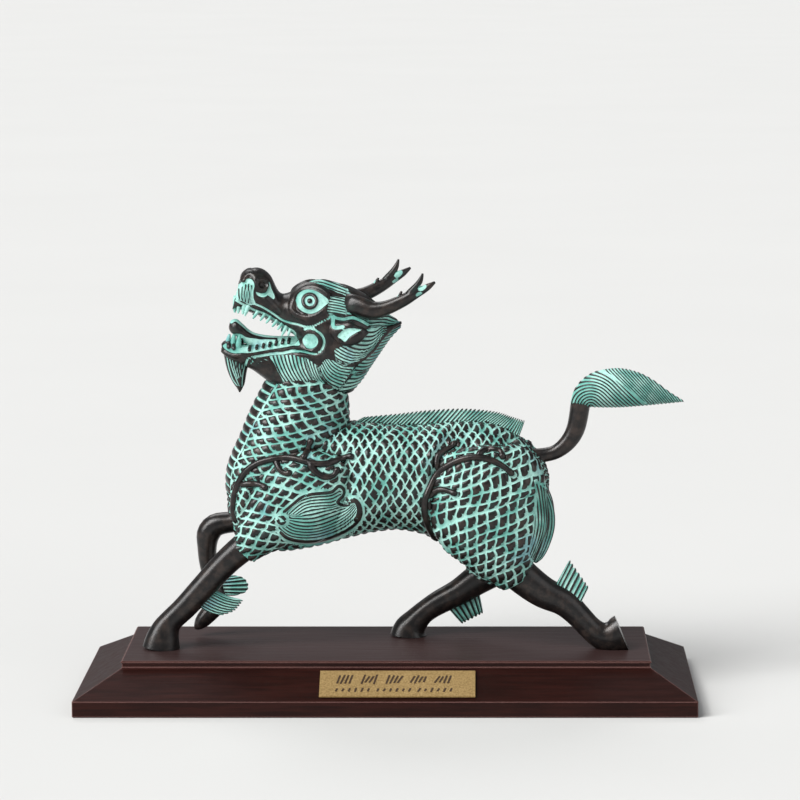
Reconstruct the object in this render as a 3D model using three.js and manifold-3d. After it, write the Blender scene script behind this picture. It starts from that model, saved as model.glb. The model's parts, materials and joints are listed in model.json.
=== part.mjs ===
// A cast bronze qilin: a scaled, hoofed beast that trots to the left with its head raised and its
// mouth open, on a stained wood plinth with a brass name plate on the front slope.
// Millimetres, +Z up. The beast faces -X, and the name plate is on the -Y side.
// The origin is the centre of the plinth's underside.
import * as THREE from "three";
import { mergeVertices } from "three/addons/utils/BufferGeometryUtils.js";
import Module from "manifold-3d";

const wasm = await Module();
wasm.setup();

// Plinth: an upright edge, a slope up to a raised step, and a flat top.
const plinthLength = 260;
const plinthDepth = 108;
const plinthEdgeHeight = 6.8;
const plinthSlopeRise = 10;
const plinthSlopeRun = 18.6;
const plinthStepHeight = 3.2;
const plinthArris = 0.5;
const plinthTop = plinthEdgeHeight + plinthSlopeRise + plinthStepHeight;

// Name plate: a thin brass strip glued to the front slope, with two rows of shallow strokes.
const plateLength = 65;
const plateWidth = 16.4;
const plateThickness = 0.8;
const plateGlue = 0.3;
const plateOffCentre = 5;
const strokeHeight = 0.25;
const strokeWidth = 0.7;
const strokeSink = 0.2;
const bigMarkCount = 5;
const bigMarkStrokes = 2;
const bigStrokeLength = 4.2;
const bigRowOffset = 2.6;
const smallMarkCount = 9;
const smallStrokeLength = 2.2;
const smallRowOffset = -4;
const strokeRowLength = 50;

// Figure. The numbers in the lists below are drawn at this height, from the plinth's top,
// and the whole casting is scaled to figureHeight.
const drawnHeight = 165;
const figureHeight = 165;
const figureScale = figureHeight / drawnHeight;
const seatGap = 0.1;
const mirrorY = 2; // the body's middle plane stands this far behind the plinth's

// Carving
const scaleRelief = 1.1;
const scaleRows = 31;
const scalesAround = 26;
const nearThighScales = [14, 16];
const farThighScales = [8, 10];
const nearShoulderScales = [9, 12];
const farShoulderScales = [6, 8];
const bellyPlateAngle = 0.55;
const vineWidth = 1.5;
const vineHeight = 1.5;
const strandDepth = 1.5;
const maneStrandsAround = 11;
const tuftStrands = 9;
const backSpikes = 22;
const backSpikeHalf = 0.9;
const backSpikeFoot = 0.55;

// The head turns a little to the near side and nods up, both about the neck.
const headTurn = 0.07;
const headNod = 0.01;
const headPivot = [-18, 0, 140];

const COLOURS = { bronze: 0x24453c, wood: 0x37201f, brass: 0xb8944f };

// Rows of numbers made smooth: a Catmull-Rom run of steps + 1 rows through the given rows.
function smoothRows(rows, steps) {
  const result = [];
  for (let step = 0; step <= steps; step += 1) {
    const place = (step / steps) * (rows.length - 1);
    const index = Math.min(Math.floor(place), rows.length - 2);
    const t = place - index;
    const before = rows[Math.max(index - 1, 0)];
    const start = rows[index];
    const end = rows[index + 1];
    const after = rows[Math.min(index + 2, rows.length - 1)];
    result.push(start.map((value, k) => {
      const slopeIn = (end[k] - before[k]) / 2;
      const slopeOut = (after[k] - value) / 2;
      const rise = end[k] - value;
      const square = 3 * rise - 2 * slopeIn - slopeOut;
      const cube = slopeIn + slopeOut - 2 * rise;
      return value + t * (slopeIn + t * (square + t * cube));
    }));
  }
  return result;
}

// A closed geometry from a list of vertices and triangles, turned inside out if its volume is negative.
function closedGeometry(points, triangles) {
  let volume = 0;
  for (const [a, b, c] of triangles) {
    volume += points[a].dot(new THREE.Vector3().crossVectors(points[b], points[c]));
  }
  const facing = volume < 0 ? triangles.map(([a, b, c]) => [a, c, b]) : triangles;
  const geometry = new THREE.BufferGeometry();
  const values = points.flatMap((point) => [point.x, point.y, point.z]);
  geometry.setAttribute("position", new THREE.Float32BufferAttribute(values, 3));
  geometry.setIndex(facing.flat());
  return geometry;
}

// A skin over rings of equal length, with a fan over each end.
// Where checkered is true, the quads' diagonals join the odd corners, the low ones of a scale pattern.
function skin(rings, checkered = false) {
  const around = rings[0].length;
  const points = rings.flat();
  const triangles = [];
  for (let i = 0; i < rings.length - 1; i += 1) {
    for (let j = 0; j < around; j += 1) {
      const next = (j + 1) % around;
      const [a, b] = [i * around + j, i * around + next];
      const [c, d] = [a + around, b + around];
      const evenCorner = (i + j) % 2 === 0;
      if (checkered && !evenCorner) triangles.push([a, b, d], [a, d, c]);
      else triangles.push([a, b, c], [b, d, c]);
    }
  }
  for (const [ring, flip] of [[0, true], [rings.length - 1, false]]) {
    const centre = new THREE.Vector3();
    rings[ring].forEach((point) => centre.addScaledVector(point, 1 / around));
    const hub = points.push(centre) - 1;
    for (let j = 0; j < around; j += 1) {
      const [a, b] = [ring * around + j, ring * around + ((j + 1) % around)];
      triangles.push(flip ? [hub, b, a] : [hub, a, b]);
    }
  }
  return closedGeometry(points, triangles);
}

// A ring round a slice. A slice is [belly x, belly z, back x, back z, half width, centre y],
// and relief(angle) pushes the ring out. Angle 0 is the back and pi the belly; sine above 0 is the far side.
function sliceRing([ax, az, bx, bz, halfWidth, y], around, relief = () => 0, power = 2.2) {
  const half = new THREE.Vector2((bx - ax) / 2, (bz - az) / 2);
  const unit = half.clone().normalize();
  const ring = [];
  for (let j = 0; j < around; j += 1) {
    const angle = (j / around) * Math.PI * 2;
    const [c, s] = [Math.cos(angle), Math.sin(angle)];
    const along = Math.sign(c) * Math.abs(c) ** (2 / power);
    const sideways = Math.sign(s) * Math.abs(s) ** (2 / power);
    const out = relief(angle, j);
    ring.push(new THREE.Vector3(
      (ax + bx) / 2 + half.x * along + unit.x * c * out,
      y + halfWidth * sideways + s * out,
      (az + bz) / 2 + half.y * along + unit.y * c * out,
    ));
  }
  return ring;
}

// Turns limb rows [x, z, y, half thickness seen from the side, half width] into slices square to their path.
function limbSlices(rows) {
  return rows.map(([x, z, y, across, halfWidth], index) => {
    const before = rows[Math.max(index - 1, 0)];
    const after = rows[Math.min(index + 1, rows.length - 1)];
    const run = new THREE.Vector2(after[0] - before[0], after[1] - before[1]).normalize();
    return [x + run.y * across, z - run.x * across, x - run.y * across, z + run.x * across, halfWidth, y];
  });
}

function limb(rows, steps, around, power = 2.2) {
  return skin(limbSlices(smoothRows(rows, steps)).map((slice) => sliceRing(slice, around, () => 0, power)));
}

// A scaled form: even corners of the grid stand proud as the scales' crowns, and odd ones are the grooves.
function scaledForm(slices, steps, around, bellyPlates) {
  const rows = smoothRows(slices, steps);
  const rings = rows.map((slice, i) => sliceRing(slice, around, (angle, j) => {
    const onPlates = bellyPlates && Math.abs(angle - Math.PI) < bellyPlateAngle;
    const proud = onPlates ? i % 2 === 0 : (i + j) % 2 === 0;
    return proud ? scaleRelief : 0;
  }));
  return skin(rings, true);
}

function solidOf(geometry) {
  const bare = geometry.clone();
  bare.deleteAttribute("normal");
  bare.deleteAttribute("uv");
  const merged = mergeVertices(bare, 1e-4);
  return new wasm.Manifold(new wasm.Mesh({
    numProp: 3,
    vertProperties: new Float32Array(merged.attributes.position.array),
    triVerts: new Uint32Array(merged.index.array),
  }));
}

function geometryOf(solid) {
  const mesh = solid.getMesh();
  const geometry = new THREE.BufferGeometry();
  geometry.setAttribute("position", new THREE.BufferAttribute(new Float32Array(mesh.vertProperties), 3));
  geometry.setIndex(new THREE.BufferAttribute(new Uint32Array(mesh.triVerts), 1));
  return geometry;
}

function joined(geometries) {
  return geometries.map(solidOf).reduce((whole, piece) => whole.add(piece));
}

const BODY_POSE = new THREE.Matrix4();
const HEAD_POSE = new THREE.Matrix4().makeTranslation(...headPivot)
  .multiply(new THREE.Matrix4().makeRotationZ(headTurn))
  .multiply(new THREE.Matrix4().makeRotationY(headNod))
  .multiply(new THREE.Matrix4().makeTranslation(...headPivot.map((value) => -value)));

// The same geometry on the other side of the middle plane of the body, or of the posed head.
function mirrored(geometry, pose = BODY_POSE) {
  const copy = mergeVertices(geometry.clone().deleteAttribute("normal").deleteAttribute("uv"));
  const swap = new THREE.Matrix4().makeScale(1, -1, 1);
  copy.applyMatrix4(pose.clone().multiply(swap).multiply(pose.clone().invert()));
  const index = copy.index.array.slice();
  for (let i = 0; i < index.length; i += 3) [index[i + 1], index[i + 2]] = [index[i + 2], index[i + 1]];
  copy.setIndex(new THREE.BufferAttribute(index, 1));
  return copy;
}

// The point and the outward normal where a line of sight along +Y at (x, z) meets a form.
function seenPoint(form, x, z) {
  const target = new THREE.Mesh(form, new THREE.MeshStandardMaterial({ side: THREE.DoubleSide }));
  const start = new THREE.Vector3(x, -plinthLength, z);
  const [hit] = new THREE.Raycaster(start, new THREE.Vector3(0, 1, 0)).intersectObject(target);
  return { point: hit.point, normal: hit.face.normal.clone() };
}

// A raised ridge of three sides over a form. It follows a line of [x, z] as seen from the near side.
function ridgeOn(form, line, steps, width, height, taper = 0.55) {
  const seen = smoothRows(line, steps).map(([x, z]) => seenPoint(form, x, z));
  return skin(seen.map(({ point, normal }, index) => {
    const before = seen[Math.max(index - 1, 0)];
    const after = seen[Math.min(index + 1, seen.length - 1)];
    const run = after.point.clone().sub(before.point).normalize();
    const up = before.normal.clone().add(after.normal).add(normal).normalize();
    const side = new THREE.Vector3().crossVectors(run, up).normalize();
    const size = 1 - taper * (index / steps) ** 2;
    const foot = point.clone().addScaledVector(up, -height);
    return [
      foot.clone().addScaledVector(side, width * size),
      point.clone().addScaledVector(up, height * size),
      foot.clone().addScaledVector(side, -width * size),
    ];
  }));
}

// A comb of strands from a root line to a tip line, both lists of [x, z]. Its ribs are thick and long,
// and the grooves between them are thin and short. The tips come to a sharp edge.
function comb(root, tip, strands, y, ribHalf, grooveHalf, notch) {
  const columns = strands * 2;
  const roots = smoothRows(root, columns);
  const tips = smoothRows(tip, columns);
  return skin(roots.map(([rx, rz], i) => {
    const groove = i % 2 === 0;
    const reach = groove ? 1 - notch : 1;
    const half = groove ? grooveHalf : ribHalf;
    const edge = new THREE.Vector3(rx + (tips[i][0] - rx) * reach, y, rz + (tips[i][1] - rz) * reach);
    return [new THREE.Vector3(rx, y - half, rz), new THREE.Vector3(rx, y + half, rz), edge];
  }));
}

// Leaning four-sided spikes in a row from a root line to a tip line. A foot takes a share of the pitch.
function spikeRow(root, tip, count, half, footShare) {
  const roots = smoothRows(root, count);
  const tips = smoothRows(tip, count);
  return Array.from({ length: count }, (_, i) => {
    const [ax, az] = roots[i];
    const [bx, bz] = [ax + (roots[i + 1][0] - ax) * footShare, az + (roots[i + 1][1] - az) * footShare];
    const apex = new THREE.Vector3(tips[i][0], 0, tips[i][1]);
    const foot = [[ax, -half, az], [bx, -half, bz], [bx, half, bz], [ax, half, az]];
    const points = [...foot.map((corner) => new THREE.Vector3(...corner)), apex];
    return closedGeometry(points, [[0, 1, 4], [1, 2, 4], [2, 3, 4], [3, 0, 4], [2, 1, 0], [3, 2, 0]]);
  });
}

// Neck, chest, belly and rump, from under the mane to the tail's root.
const TORSO = [
  [-45, 124, -22, 120, 11, 0],
  [-51, 113, -18, 108, 13, 0],
  [-55.5, 105, -17, 101.5, 15, 0],
  [-59.5, 97, -16.5, 98, 17, 0],
  [-63, 88.5, -14, 96.6, 19, 0],
  [-66.5, 80, -11, 95.8, 20.5, 0],
  [-68.8, 71, -7.5, 95.3, 21.5, 0],
  [-68.8, 62, -3, 95, 22, 0],
  [-66, 52.5, 1.5, 94.8, 22.5, 0],
  [-60, 45, 6, 94.6, 22.5, 0],
  [-51, 41, 11, 94.5, 22.5, 0],
  [-41, 41, 16, 94.6, 22.5, 0],
  [-30, 43, 20, 95, 22, 0],
  [-19, 46, 24, 95.6, 21.5, 0],
  [-7, 49, 28, 96.1, 21, 0],
  [5, 50, 32, 96.4, 20.5, 0],
  [15, 48, 36.5, 96.3, 20.5, 0],
  [25, 43.5, 41, 95.8, 21, 0],
  [34, 38, 46, 95, 21.5, 0],
  [43, 34.5, 50.5, 92.8, 21.5, 0],
  [52, 34, 55, 90, 20.5, 0],
  [60, 38, 59, 86.2, 18, 0],
  [65.5, 46, 63, 82.8, 13.5, 0],
  [68, 56, 65.5, 78, 8, 0],
];

// Lobes of the thighs and shoulders, each with its own field of scales, as limb rows.
const NEAR_THIGH = [
  [37, 84.5, -12, 15, 4],
  [38, 80, -12.5, 21.5, 7],
  [40.5, 71.5, -13, 25.5, 9.5],
  [43, 61, -13.2, 25.5, 11],
  [47.2, 49.5, -13, 22.5, 11],
  [50.5, 39.5, -12.5, 15.5, 10],
  [53.2, 33, -12, 9.5, 8],
  [55.5, 29, -12, 6.6, 6.2],
];
const FAR_THIGH = [
  [37, 84.5, 12, 15, 4],
  [38, 80, 12.5, 21.5, 7],
  [40.5, 71.5, 13, 25.5, 9.5],
  [42, 61, 13.2, 25.5, 11],
  [43.5, 49.5, 13, 22, 11],
  [43.5, 38.5, 13, 15, 9.5],
  [42.5, 31, 13.5, 10, 7.5],
  [40, 25.5, 14, 7, 6.2],
];
const NEAR_SHOULDER = [
  [-27, 78, -12, 14, 4],
  [-34, 71, -12.5, 20, 7],
  [-41.5, 63, -13, 20.5, 9],
  [-49, 54.5, -13, 14.5, 9.5],
  [-55.5, 46.5, -12.5, 9, 8],
  [-60, 41.5, -12, 6.8, 6.6],
];
const FAR_SHOULDER = [
  [-25, 76, 12, 14, 4],
  [-33, 69, 12.5, 20, 7],
  [-43, 62, 13, 18.5, 9],
  [-53, 56, 13, 14, 9.5],
  [-62, 52, 13, 9, 8.5],
  [-67, 50.6, 13, 6, 6],
];

// Smooth legs, from inside the body to the sole.
const NEAR_FORELEG = [
  [-52, 49, -12, 7.5, 6],
  [-61, 40.5, -12, 6.6, 5.6],
  [-71.5, 31, -12, 5, 5],
  [-81, 22, -12, 4.3, 4.5],
  [-89, 14, -12, 4.2, 4.3],
  [-94, 8.2, -12, 4.8, 4.8],
  [-96.3, 4, -12, 6.7, 5.8],
  [-97, 0, -12, 8, 6.6],
];
const FAR_FORELEG = [
  [-58, 52, 13, 6.4, 6],
  [-68, 50.8, 13, 5.2, 5.2],
  [-75.5, 50.3, 13, 4.6, 4.8],
  [-77.6, 46, 13, 4.8, 4.6],
  [-77.4, 38, 13, 4.1, 4.2],
  [-75.5, 28, 13, 3.9, 4],
  [-72.5, 18.5, 13, 4.3, 4.2],
  [-74.5, 12.5, 13, 4.5, 4.3],
  [-78.5, 8.5, 13, 4.2, 4.6],
  [-82.5, 4.5, 13, 2.4, 2.6],
];
const NEAR_HINDLEG = [
  [50, 38, -12, 8, 6.5],
  [58, 30.5, -12, 7.4, 6],
  [66, 24.5, -12, 6.8, 5.6],
  [75, 20, -12, 6, 5.2],
  [81.5, 14, -12, 5.3, 4.8],
  [86.3, 8.8, -12, 5.2, 4.7],
  [90.6, 5.6, -12, 5.8, 5.2],
  [95.2, 5, -12, 7, 5.8],
  [99.8, 6.6, -12, 8, 6.2],
];
const FAR_HINDLEG = [
  [47, 30, 14, 7.5, 6.5],
  [38, 24.5, 14, 6.6, 5.8],
  [30, 19, 14, 5.8, 5.2],
  [21.5, 14.5, 14, 5.2, 4.8],
  [15.5, 10.5, 14, 4.9, 4.8],
  [11.5, 6.5, 14, 5.6, 5.3],
  [9, 3, 14, 7, 6],
  [8.4, 0, 14, 8, 6.5],
];

const TAIL_STALK = [
  [58, 80, 0, 4.6, 4.2],
  [65, 81.2, 0, 3.2, 3.2],
  [71, 83, 0, 3.1, 3.1],
  [76, 87.5, 0, 3.6, 3.4],
  [79.5, 94, 0, 4, 3.8],
  [81.5, 104.5, 0, 4.4, 4.2],
];
// The tuft's slices lean back: each runs from its flat underside up and forward to its arched top.
const TAIL_TUFT = [
  [77.4, 103.6, 77.2, 105.6, 2, 0],
  [80.4, 102.9, 78.3, 109, 4, 0],
  [85.5, 102.5, 81, 113.4, 5.6, 0],
  [92, 102.3, 85, 116.8, 6.8, 0],
  [99.5, 102.4, 90.5, 118.9, 7.4, 0],
  [106.5, 102.9, 98.5, 119.5, 7.2, 0],
  [112.5, 103.5, 106.5, 117.7, 6.2, 0],
  [118, 104.1, 113.5, 113.9, 4.6, 0],
  [122.5, 104.8, 120, 109.2, 2.6, 0],
  [126.2, 105.2, 125.6, 106, 0.7, 0],
];

// Skull and upper jaw from the lip back to the crown, before the head is posed.
const SKULL = [
  [-65.6, 144, -64, 152, 4.6, 0],
  [-63.2, 144.2, -62.2, 157.2, 7.4, 0],
  [-58.6, 143, -58.6, 161, 8.6, 0],
  [-54, 141.3, -54, 161.6, 8.8, 0],
  [-49.4, 139.4, -49.6, 158.6, 8.6, 0],
  [-45.3, 137.2, -45.7, 151.4, 8.6, 0],
  [-41.3, 134.6, -41.7, 151.2, 10, 0],
  [-37.2, 130.5, -37.7, 153.8, 12, 0],
  [-33, 125, -33, 156, 13.6, 0],
  [-28.5, 118, -28, 157, 14.6, 0],
  [-24, 114, -22.5, 155.8, 14.8, 0],
  [-19, 114, -16, 154, 14.2, 0],
  [-14, 118, -10, 151, 12.5, 0],
  [-9, 124, -5, 147.4, 9, 0],
];
// The mane is a fluted cap behind the cheeks. It narrows to a tuft at the back of the head.
const MANE = [
  [-47, 120, -33, 138, 8.4, 0],
  [-43.5, 114.2, -28.5, 145, 11.2, 0],
  [-35.5, 109.4, -23.5, 148.6, 13.6, 0],
  [-24, 107.8, -19, 149.6, 16, 0],
  [-16, 108.4, -15, 149.4, 16.2, 0],
  [-11, 113, -10.5, 147.6, 14.8, 0],
  [-7, 119, -6, 145.6, 12.4, 0],
  [-3, 125, -1.6, 143.4, 9.4, 0],
  [1.6, 131.6, 2.4, 141.2, 5.6, 0],
  [5.8, 136.2, 6, 138.6, 1.6, 0],
];
const JAW = [
  [-24, 114, -24, 131, 12.4, 0],
  [-31, 117, -31, 130.5, 13.6, 0],
  [-37, 121, -37, 130.2, 12.8, 0],
  [-45, 122.8, -44.6, 129.8, 10.6, 0],
  [-54.6, 122, -54.2, 129, 8.8, 0],
  [-61.7, 121.6, -61.7, 129.4, 8, 0],
  [-67.3, 123.2, -68, 130.6, 6, 0],
  [-69.8, 125.4, -70.2, 129.4, 3, 0],
];
const TONGUE = [
  [-36, 126, -35, 133, 5.5, 0],
  [-44, 127.5, -44, 132.3, 5, 0],
  [-52.5, 128.5, -52.7, 132.6, 4.6, 0],
  [-60, 130, -61, 134.8, 4.2, 0],
  [-64, 133, -66, 138, 3.2, 0],
  [-65.6, 136.6, -67.4, 139.4, 1.6, 0],
];
const BEARD = [
  [-57.9, 123.5, -70.2, 126.5, 5.4, 0],
  [-58.3, 119.5, -69.7, 121, 5, 0],
  [-59.3, 115.5, -68.4, 116, 4.2, 0],
  [-60.5, 112, -66.6, 112, 2.8, 0],
  [-61.8, 109.2, -63.8, 109, 0.9, 0],
];
const EAR = [
  [-25, 138.4, -14, 3.4, 2.4],
  [-21.5, 138.2, -16, 5, 2.8],
  [-17, 138, -17.2, 4.4, 2.4],
  [-12.6, 138, -17.6, 2.8, 1.8],
  [-8.6, 138.6, -17.6, 0.6, 0.6],
];
const ANTLER = [
  [-24, 149, -7, 2.6, 2.4],
  [-15.5, 147.4, -10.5, 4, 3.4],
  [-6, 145.5, -13.6, 3.7, 3.3],
  [1, 147.4, -15, 3.1, 2.9],
  [7, 150.4, -16, 2.8, 2.6],
  [12, 153.6, -17, 2.2, 2.1],
  [19, 157.6, -18.2, 0.6, 0.6],
];
const TINE = [
  [6.2, 150.2, -15.9, 1.6, 1.5],
  [10.6, 154.4, -17, 1.8, 1.7],
  [13.2, 158.2, -17.8, 1.2, 1.1],
  [14, 161.4, -18, 0.4, 0.4],
];
// The far antler stands further forward and higher than the near one.
const farAntlerShift = [-8.5, 0, 2.2];

// The head's lines, as [x, z] seen from the near side once it is posed.
const LIP_LINE = [
  [-58.8, 149.9], [-48, 140.9], [-42.1, 137.3], [-37.5, 136], [-32.9, 136.8], [-28.7, 134.7], [-27.4, 131.8],
  [-29.6, 129.2], [-38, 129], [-48.9, 127.7], [-62, 126.4],
];
const BROW_HAIRS = [
  [[-22.7, 152.6], [-15.6, 151]],
  [[-22.3, 149.6], [-15.8, 148.2]],
  [[-22.4, 146.6], [-16.2, 145.4]],
];
const EYE = { at: [-32.1, 149.2], ball: 4.6, ring: 5.2, ringThickness: 1, pupil: 1.9, sink: 2 };
const NOSTRIL = { at: [-51, 156], radius: 3.8, sink: 1.6 };

// Vines in relief over the shoulder and the thigh, drawn as [x, z] on the near side.
const SHOULDER_VINES = [
  [[-13.9, 85.5], [-17.3, 83.8], [-23.6, 82.1], [-35.3, 84.3], [-46.6, 84.5], [-57.2, 79.1], [-62.3, 71.5],
    [-64.3, 64]],
  [[-36.5, 84], [-33.6, 87.7], [-31.1, 93]],
  [[-48.5, 84], [-45.8, 80], [-43.3, 77.4], [-40.4, 78.3]],
  [[-34.5, 83.6], [-31.2, 79.1], [-27.8, 77], [-23.6, 76.2], [-20.7, 79.1]],
  [[-61.5, 72.3], [-57.2, 73.4], [-52.2, 72.8], [-50.1, 70.4]],
];
const THIGH_VINES = [
  [
    [53.7, 77.6], [45.7, 82.7], [35.2, 85.3], [27.7, 83.6],
    [18.8, 77.6], [15.5, 66.5], [18.4, 53.7], [27.5, 44],
  ],
  [[20.5, 79.4], [21, 85.7], [23.4, 88.6], [28.5, 91.4]],
  [[16.5, 69], [20.9, 70.8], [25.1, 71.2], [28.9, 69.9], [29.3, 66.8]],
  [[37.4, 85], [40.2, 87.8], [43.6, 88.7], [47.8, 88.2], [49.1, 84.4]],
];
// The plume behind the near elbow.
const PLUME_STRANDS = [
  [[-41.5, 58.5], [-35, 62.8], [-28, 65.6], [-20.6, 68.4]],
  [[-41.8, 56.4], [-33, 58.8], [-24, 60.6], [-12.5, 63.8]],
  [[-42.3, 53.2], [-33, 52.8], [-24, 54], [-12, 60]],
];

function scaledParts() {
  return [
    scaledForm(TORSO, scaleRows, scalesAround, true),
    scaledForm(limbSlices(NEAR_THIGH), ...nearThighScales, false),
    scaledForm(limbSlices(FAR_THIGH), ...farThighScales, false),
    scaledForm(limbSlices(NEAR_SHOULDER), ...nearShoulderScales, false),
    scaledForm(limbSlices(FAR_SHOULDER), ...farShoulderScales, false),
  ];
}

// Vines and the plume lie on the near flank. The far flank is left plainer.
function flankReliefs() {
  const plain = (slices, steps, around) => {
    return skin(smoothRows(slices, steps).map((slice) => sliceRing(slice, around)));
  };
  const flank = geometryOf(joined([
    plain(TORSO, 24, 20),
    plain(limbSlices(NEAR_THIGH), 8, 16),
    plain(limbSlices(NEAR_SHOULDER), 6, 14),
  ]));
  const lift = vineHeight + scaleRelief * 0.6;
  const vines = [...SHOULDER_VINES, ...THIGH_VINES].map((line) => (
    ridgeOn(flank, line, line.length - 1, vineWidth, lift)
  ));
  const plume = PLUME_STRANDS.map((line) => ridgeOn(flank, line, 3, vineWidth, lift));
  return [...vines, ...plume];
}

function legs() {
  return [NEAR_FORELEG, FAR_FORELEG, NEAR_HINDLEG, FAR_HINDLEG].map((rows) => limb(rows, 7, 7));
}

// Fluted tufts behind each leg and behind the thighs, and the comb along the back.
function fins() {
  const backSpikesRow = spikeRow(
    [[-14, 95.6], [-3, 93.4], [10, 93], [26.4, 94.4], [38, 94.4], [47, 92.6], [55.5, 88]],
    [[-10, 98], [4, 99.4], [18, 101], [33, 101.6], [45.8, 100.4], [53, 98.2], [58.6, 96.4]],
    backSpikes, backSpikeHalf, backSpikeFoot,
  );
  const thighRear = comb(
    [[60.6, 68], [61.6, 60], [61.8, 50], [59.6, 41]],
    [[65.6, 69.5], [69, 59], [69.4, 48], [65.4, 37.5]],
    4, -6, 2.6, 1.8, 0.04,
  );
  return [
    ...backSpikesRow,
    thighRear,
    mirrored(thighRear),
    comb([[-73, 27], [-81, 19]], [[-61.2, 21.8], [-71.5, 14.4]], 4, -12, 2.4, 1.5, 0.06),
    comb([[-73.5, 28], [-72, 18]], [[-61.4, 26.4], [-61.8, 18.6]], 3, 13, 2.4, 1.5, 0.06),
    comb([[71, 26], [81, 17.5]], [[77.5, 38.5], [85.7, 26.5]], 4, -12, 2.4, 1.5, 0.06),
    comb([[25, 13], [38.5, 21]], [[31.5, 5], [40.8, 9.8]], 4, 14, 2.4, 1.5, 0.06),
  ];
}

function tail() {
  const rings = smoothRows(TAIL_TUFT, tuftStrands * 2).map((slice, i) => (
    sliceRing(slice, 8, () => (i % 2 ? strandDepth * 0.5 : 0), 2.4)
  ));
  return [limb(TAIL_STALK, 6, 6), skin(rings)];
}

// Cones in a row between two points, their tips up or down.
function toothRow(start, end, count, radius, tipsDown) {
  const height = radius * 2.8;
  return Array.from({ length: count }, (_, i) => {
    const tooth = new THREE.ConeGeometry(radius, height, 3);
    tooth.rotateX(tipsDown ? -Math.PI / 2 : Math.PI / 2);
    const share = count > 1 ? i / (count - 1) : 0;
    const place = new THREE.Vector3(...start).lerp(new THREE.Vector3(...end), share);
    tooth.translate(place.x, place.y, place.z + (tipsDown ? -height : height) * 0.2);
    return tooth;
  });
}

function head() {
  const skull = skin(smoothRows(SKULL, 15).map((slice) => sliceRing(slice, 12)));
  const jaw = skin(smoothRows(JAW, 7).map((slice) => sliceRing(slice, 8, () => 0, 3)));
  const tongue = skin(smoothRows(TONGUE, 6).map((slice) => sliceRing(slice, 6)));
  const beard = skin(smoothRows(BEARD, 4).map((slice) => (
    sliceRing(slice, 12, (angle, j) => (j % 2 ? strandDepth * 0.5 : 0))
  )));
  const mane = skin(smoothRows(MANE, 8).map((slice) => (
    sliceRing(slice, maneStrandsAround * 2, (angle, j) => (j % 2 ? strandDepth : 0))
  )));
  const middle = [skull, mane, jaw, tongue, beard];
  const side = [
    skin(limbSlices(smoothRows(EAR, 4)).map((slice) => sliceRing(slice, 6))),
    ...toothRow([-61.6, -5, 145.4], [-42, -6.6, 136.6], 6, 1.4, true),
    ...toothRow([-62, -5.6, 129], [-47, -7.8, 129.4], 5, 1.2, false),
    ...toothRow([-63.8, -3, 143.8], [-63.8, -3, 143.8], 1, 2, true),
    ...toothRow([-66.6, -3.6, 130.6], [-66.6, -3.6, 130.6], 1, 1.9, false),
  ];
  const antler = geometryOf(joined([limb(ANTLER, 7, 5), limb(TINE, 3, 4)]));
  const farAntler = mirrored(antler).translate(...farAntlerShift);
  [...middle, ...side, antler, farAntler].forEach((geometry) => geometry.applyMatrix4(HEAD_POSE));

  const face = geometryOf(joined([skull, jaw]));
  const turn = new THREE.Matrix4().extractRotation(HEAD_POSE);
  const seat = (geometry, [x, z], sink) => {
    const { point } = seenPoint(face, x, z);
    geometry.applyMatrix4(turn);
    geometry.translate(point.x, point.y + sink, point.z);
    side.push(geometry);
  };
  const ball = new THREE.SphereGeometry(EYE.ball, 8, 5);
  ball.scale(1.15, 0.75, 1);
  seat(ball, EYE.at, EYE.sink);
  const rim = new THREE.TorusGeometry(EYE.ring, EYE.ringThickness, 3, 10);
  rim.rotateX(Math.PI / 2);
  rim.scale(1.15, 1, 0.95);
  seat(rim, EYE.at, EYE.sink - 1.6);
  const pupil = new THREE.SphereGeometry(EYE.pupil, 5, 3);
  seat(pupil, EYE.at, EYE.sink - EYE.ball * 0.64);
  const nostril = new THREE.SphereGeometry(NOSTRIL.radius, 7, 4);
  seat(nostril, NOSTRIL.at, NOSTRIL.sink);
  side.push(ridgeOn(face, LIP_LINE, 9, 1.2, 1.4, 0.2));
  side.push(...BROW_HAIRS.map((hair) => ridgeOn(face, hair, 1, 0.9, 1.2)));
  return [...middle, antler, farAntler, ...side, ...side.map((geometry) => mirrored(geometry, HEAD_POSE))];
}

function figure() {
  const whole = joined([...scaledParts(), ...flankReliefs(), ...legs(), ...fins(), ...tail(), ...head()]);
  // The soles are cut flat where they stand, and the far forefoot is clear of the plinth.
  const floorBlock = new THREE.BoxGeometry(400, 200, 40);
  floorBlock.translate(0, 0, -20);
  const geometry = geometryOf(whole.subtract(solidOf(floorBlock)));
  geometry.scale(figureScale, figureScale, figureScale);
  return geometry;
}

// Rectangles stacked from the underside up, each [half length, half depth, height].
function plinth() {
  const [a, b] = [plinthLength / 2, plinthDepth / 2];
  const [c, d] = [a - plinthSlopeRun, b - plinthSlopeRun];
  const slopeTop = plinthEdgeHeight + plinthSlopeRise;
  const levels = [
    [a - plinthArris, b - plinthArris, 0],
    [a, b, plinthArris],
    [a, b, plinthEdgeHeight],
    [c, d, slopeTop],
    [c - plinthArris, d - plinthArris, slopeTop + plinthArris],
    [c - plinthArris, d - plinthArris, plinthTop - plinthArris * 2],
    [c, d, plinthTop - plinthArris * 1.5],
    [c, d, plinthTop - plinthArris],
    [c - plinthArris, d - plinthArris, plinthTop],
  ];
  const corners = [[-1, -1], [1, -1], [1, 1], [-1, 1]];
  const rectangle = ([x, y, z]) => corners.map(([east, north]) => new THREE.Vector3(east * x, north * y, z));
  return skin(levels.map(rectangle));
}

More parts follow.
